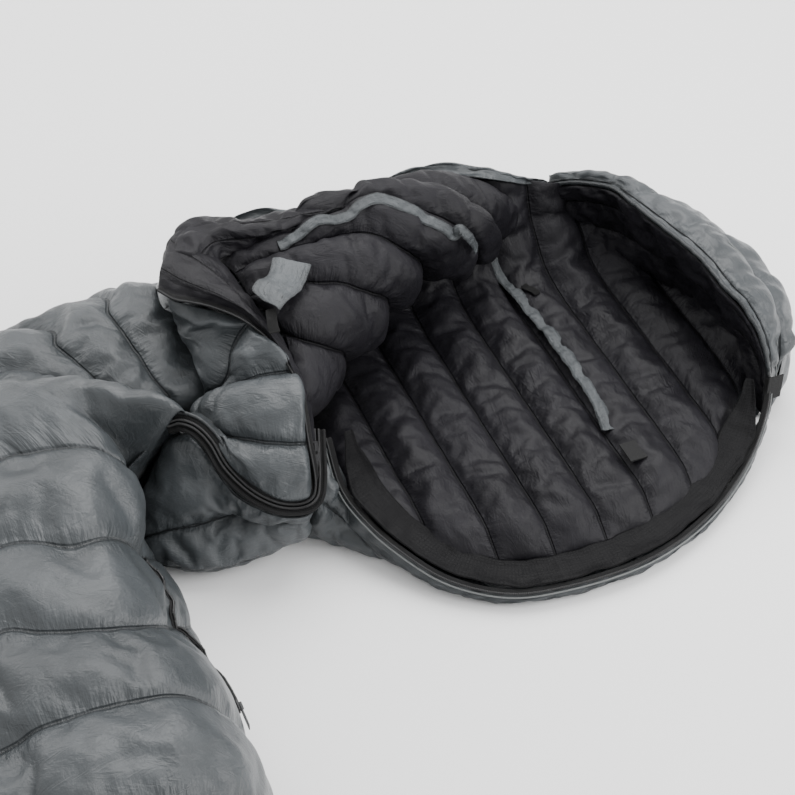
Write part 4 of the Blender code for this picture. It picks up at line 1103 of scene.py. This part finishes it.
# Who moves with what, and which nodes each piece stands for.
for piece, *what in (
    (torsoLining, "bag", "black_taffeta",
     ["lining_torso", "lining_knee_bottom", "lining_leg_bottom", "lining_upper", "wall_torso", "wall_knee",
      "wall_leg", "draft_tube_knee", "draft_tube_leg"] + [f"down_torso_{k}" for k in range(1, 9)]
     + ["down_knee_bottom", "down_leg_bottom"], 0.6),
    (backShell, "bag", "grey_nylon", [], 0.6),
    (underShell, "bag", "grey_nylon", [], 0.5),
    (baseTorso, "bag", "grey_nylon", ["shell_torso"], 0.2),
    (lobeSkirt, "bag", "grey_nylon", [], 0.3),
    (baseLegs, "bag", "grey_nylon", ["shell_leg_bottom", "shell_knee_bottom"], 0.2),
    (foldTop, "bag", "grey_nylon", [], 0.5),
    (legShell, "bag", "grey_nylon", ["down_leg_upper", "down_foot", "shell_foot"], 0.7),
    (elbowShell, "bag", "grey_nylon", ["down_knee_upper"], 0.7),
    (fanShell, "bag", "grey_nylon", ["shell_upper", "down_fold_upper"], 0.7),
    (bulgeShell, "bag", "grey_nylon", [], 0.7),
    (pocketShell, "bag", "grey_nylon", [], 0.4),
    (pocketFold, "bag", "grey_nylon", [], 0.4),
    (flapShell, None, "grey_nylon", ["shell_flap"], 0.6),
    (flapLining, None, "black_taffeta", ["lining_flap"] + [f"down_flap_{k}" for k in range(1, 6)], 0.8),
    (flapCollar, "flap", "black_taffeta", [], 0.5),
    (flapTube, None, "black_taffeta", [], 0.5),
    (hoodShell, "bag", "grey_nylon",
     ["shell_hood", "hood_rim", "down_hood_wall", "down_hood_visor", "hood_cord_sleeve"], 0.7),
    (hoodLining, "bag", "black_taffeta", ["lining_hood", "down_hood_floor"], 0.6),
    (hoodPiping, "bag", "grey_nylon"),
    (hoodRimRoll, "bag", "grey_nylon"),
    (hoodRimSeam, "bag", "grey_nylon"),
    (stiffener, "bag", "ripstop_band", ["stiffener_band"]),
    (labelTag, "bag", "black_taffeta", ["label_tag"]),
    (gripHook, "flap_grip", "hook_and_loop", ["flap_grip_patch"]),
    (openTape, "bag", "zip_tape", ["zip_tape_open"]),
    (openCoil, "bag", "zip_coil", ["zip_coil_open"]),
    (openPiping, "bag", "grey_nylon"),
    (closedTape, "bag", "zip_tape", ["zip_tape_closed"]),
    (closedCoils[0], "bag", "zip_coil", ["zip_coil_closed"]),
    (closedCoils[1], "bag", "zip_coil"),
    (zipWelts[0], "bag", "zip_tape"),
    (zipWelts[1], "bag", "grey_nylon"),
    (legTape, "bag", "zip_tape"),
    (legCoil, "bag", "zip_coil"),
    (flapTape, None, "zip_tape", ["zip_tape_flap"]),
    (flapCoil, None, "zip_coil", ["zip_coil_flap"]),
    (gripTab, "flap_grip", "grey_tape", ["flap_grip_tab"]),
    (gripStitch, "flap_grip", "grey_tape"),
    (collarTape, "bag", "grey_tape", ["collar_tape"]),
    (flapCollarTape, None, "grey_tape", ["collar_tape_flap"]),
):
    settle(piece, *what)
for piece in (flapShell, flapLining, flapTube, flapTape, flapCoil, flapCollarTape):
    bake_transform(piece)

keptNodes = {
    "slider_upper": sliderMetal, "slider_lower": sliderMetal, "pull_upper": sliderMetal,
    "pull_lower": sliderMetal,
    "collar_hook_tab": hookPile, "hood_hook_tab": hookPile,
}
for nodeName, finish in keptNodes.items():
    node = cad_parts[nodeName]
    node.data.materials.clear()
    node.data.materials.append(finish)

# Floor, light and camera.
floorLook = {"size": 30.0, "pale": (0.93, 0.93, 0.93), "rough": 0.6}
bm = bmesh.new()
bmesh.ops.create_grid(bm, x_segments=8, y_segments=8, size=floorLook["size"] / 2)
mesh = bpy.data.meshes.new("floor")
bm.to_mesh(mesh)
bm.free()
floor = bpy.data.objects.new("floor", mesh)
bpy.context.scene.collection.objects.link(floor)
floorMaterial = bpy.data.materials.new("paleFloor")
floorMaterial.use_nodes = True
floorShader = floorMaterial.node_tree.nodes["Principled BSDF"]
floorShader.inputs["Base Color"].default_value = (*floorLook["pale"], 1)
floorShader.inputs["Roughness"].default_value = floorLook["rough"]
floor.data.materials.append(floorMaterial)

studio = {
    "world": 1.2,
    "lights": [
        ("overhead", (0.7, 0.9, 2.3), 2.4, 78.0),
        ("frontFill", (1.7, -1.5, 1.5), 1.8, 52.0),
        ("sideSoft", (-1.2, 2.2, 1.6), 1.6, 25.0),
    ],
}
world = bpy.data.worlds.new("studio")
bpy.context.scene.world = world
world.use_nodes = True
backdrop = world.node_tree.nodes["Background"]
backdrop.inputs["Color"].default_value = (1.0, 1.0, 1.0, 1)
backdrop.inputs["Strength"].default_value = studio["world"]
middle = planShift
for lightName, spot, size, power in studio["lights"]:
    data = bpy.data.lights.new(lightName, "AREA")
    data.shape = "DISK"
    data.size = size
    data.energy = power
    light = bpy.data.objects.new(lightName, data)
    light.location = middle + Vector(spot)
    light.rotation_euler = (middle - light.location).to_track_quat("-Z", "Y").to_euler()
    bpy.context.scene.collection.objects.link(light)

view = {"azimuth": -22.0, "elevation": 43.0, "distance": 2.4, "lens": 85.0, "sensor": 36.0}
turn, tilt = math.radians(view["azimuth"]), math.radians(view["elevation"])
back = Vector((math.sin(turn) * math.cos(tilt), -math.cos(turn) * math.cos(tilt), math.sin(tilt)))
cameraData = bpy.data.cameras.new("camera")
cameraData.lens = view["lens"]
cameraData.sensor_width = view["sensor"]
camera = bpy.data.objects.new("camera", cameraData)
camera.location = middle + back * view["distance"]
camera.rotation_euler = (-back).to_track_quat("-Z", "Y").to_euler()
bpy.context.scene.collection.objects.link(camera)
bpy.context.scene.camera = camera
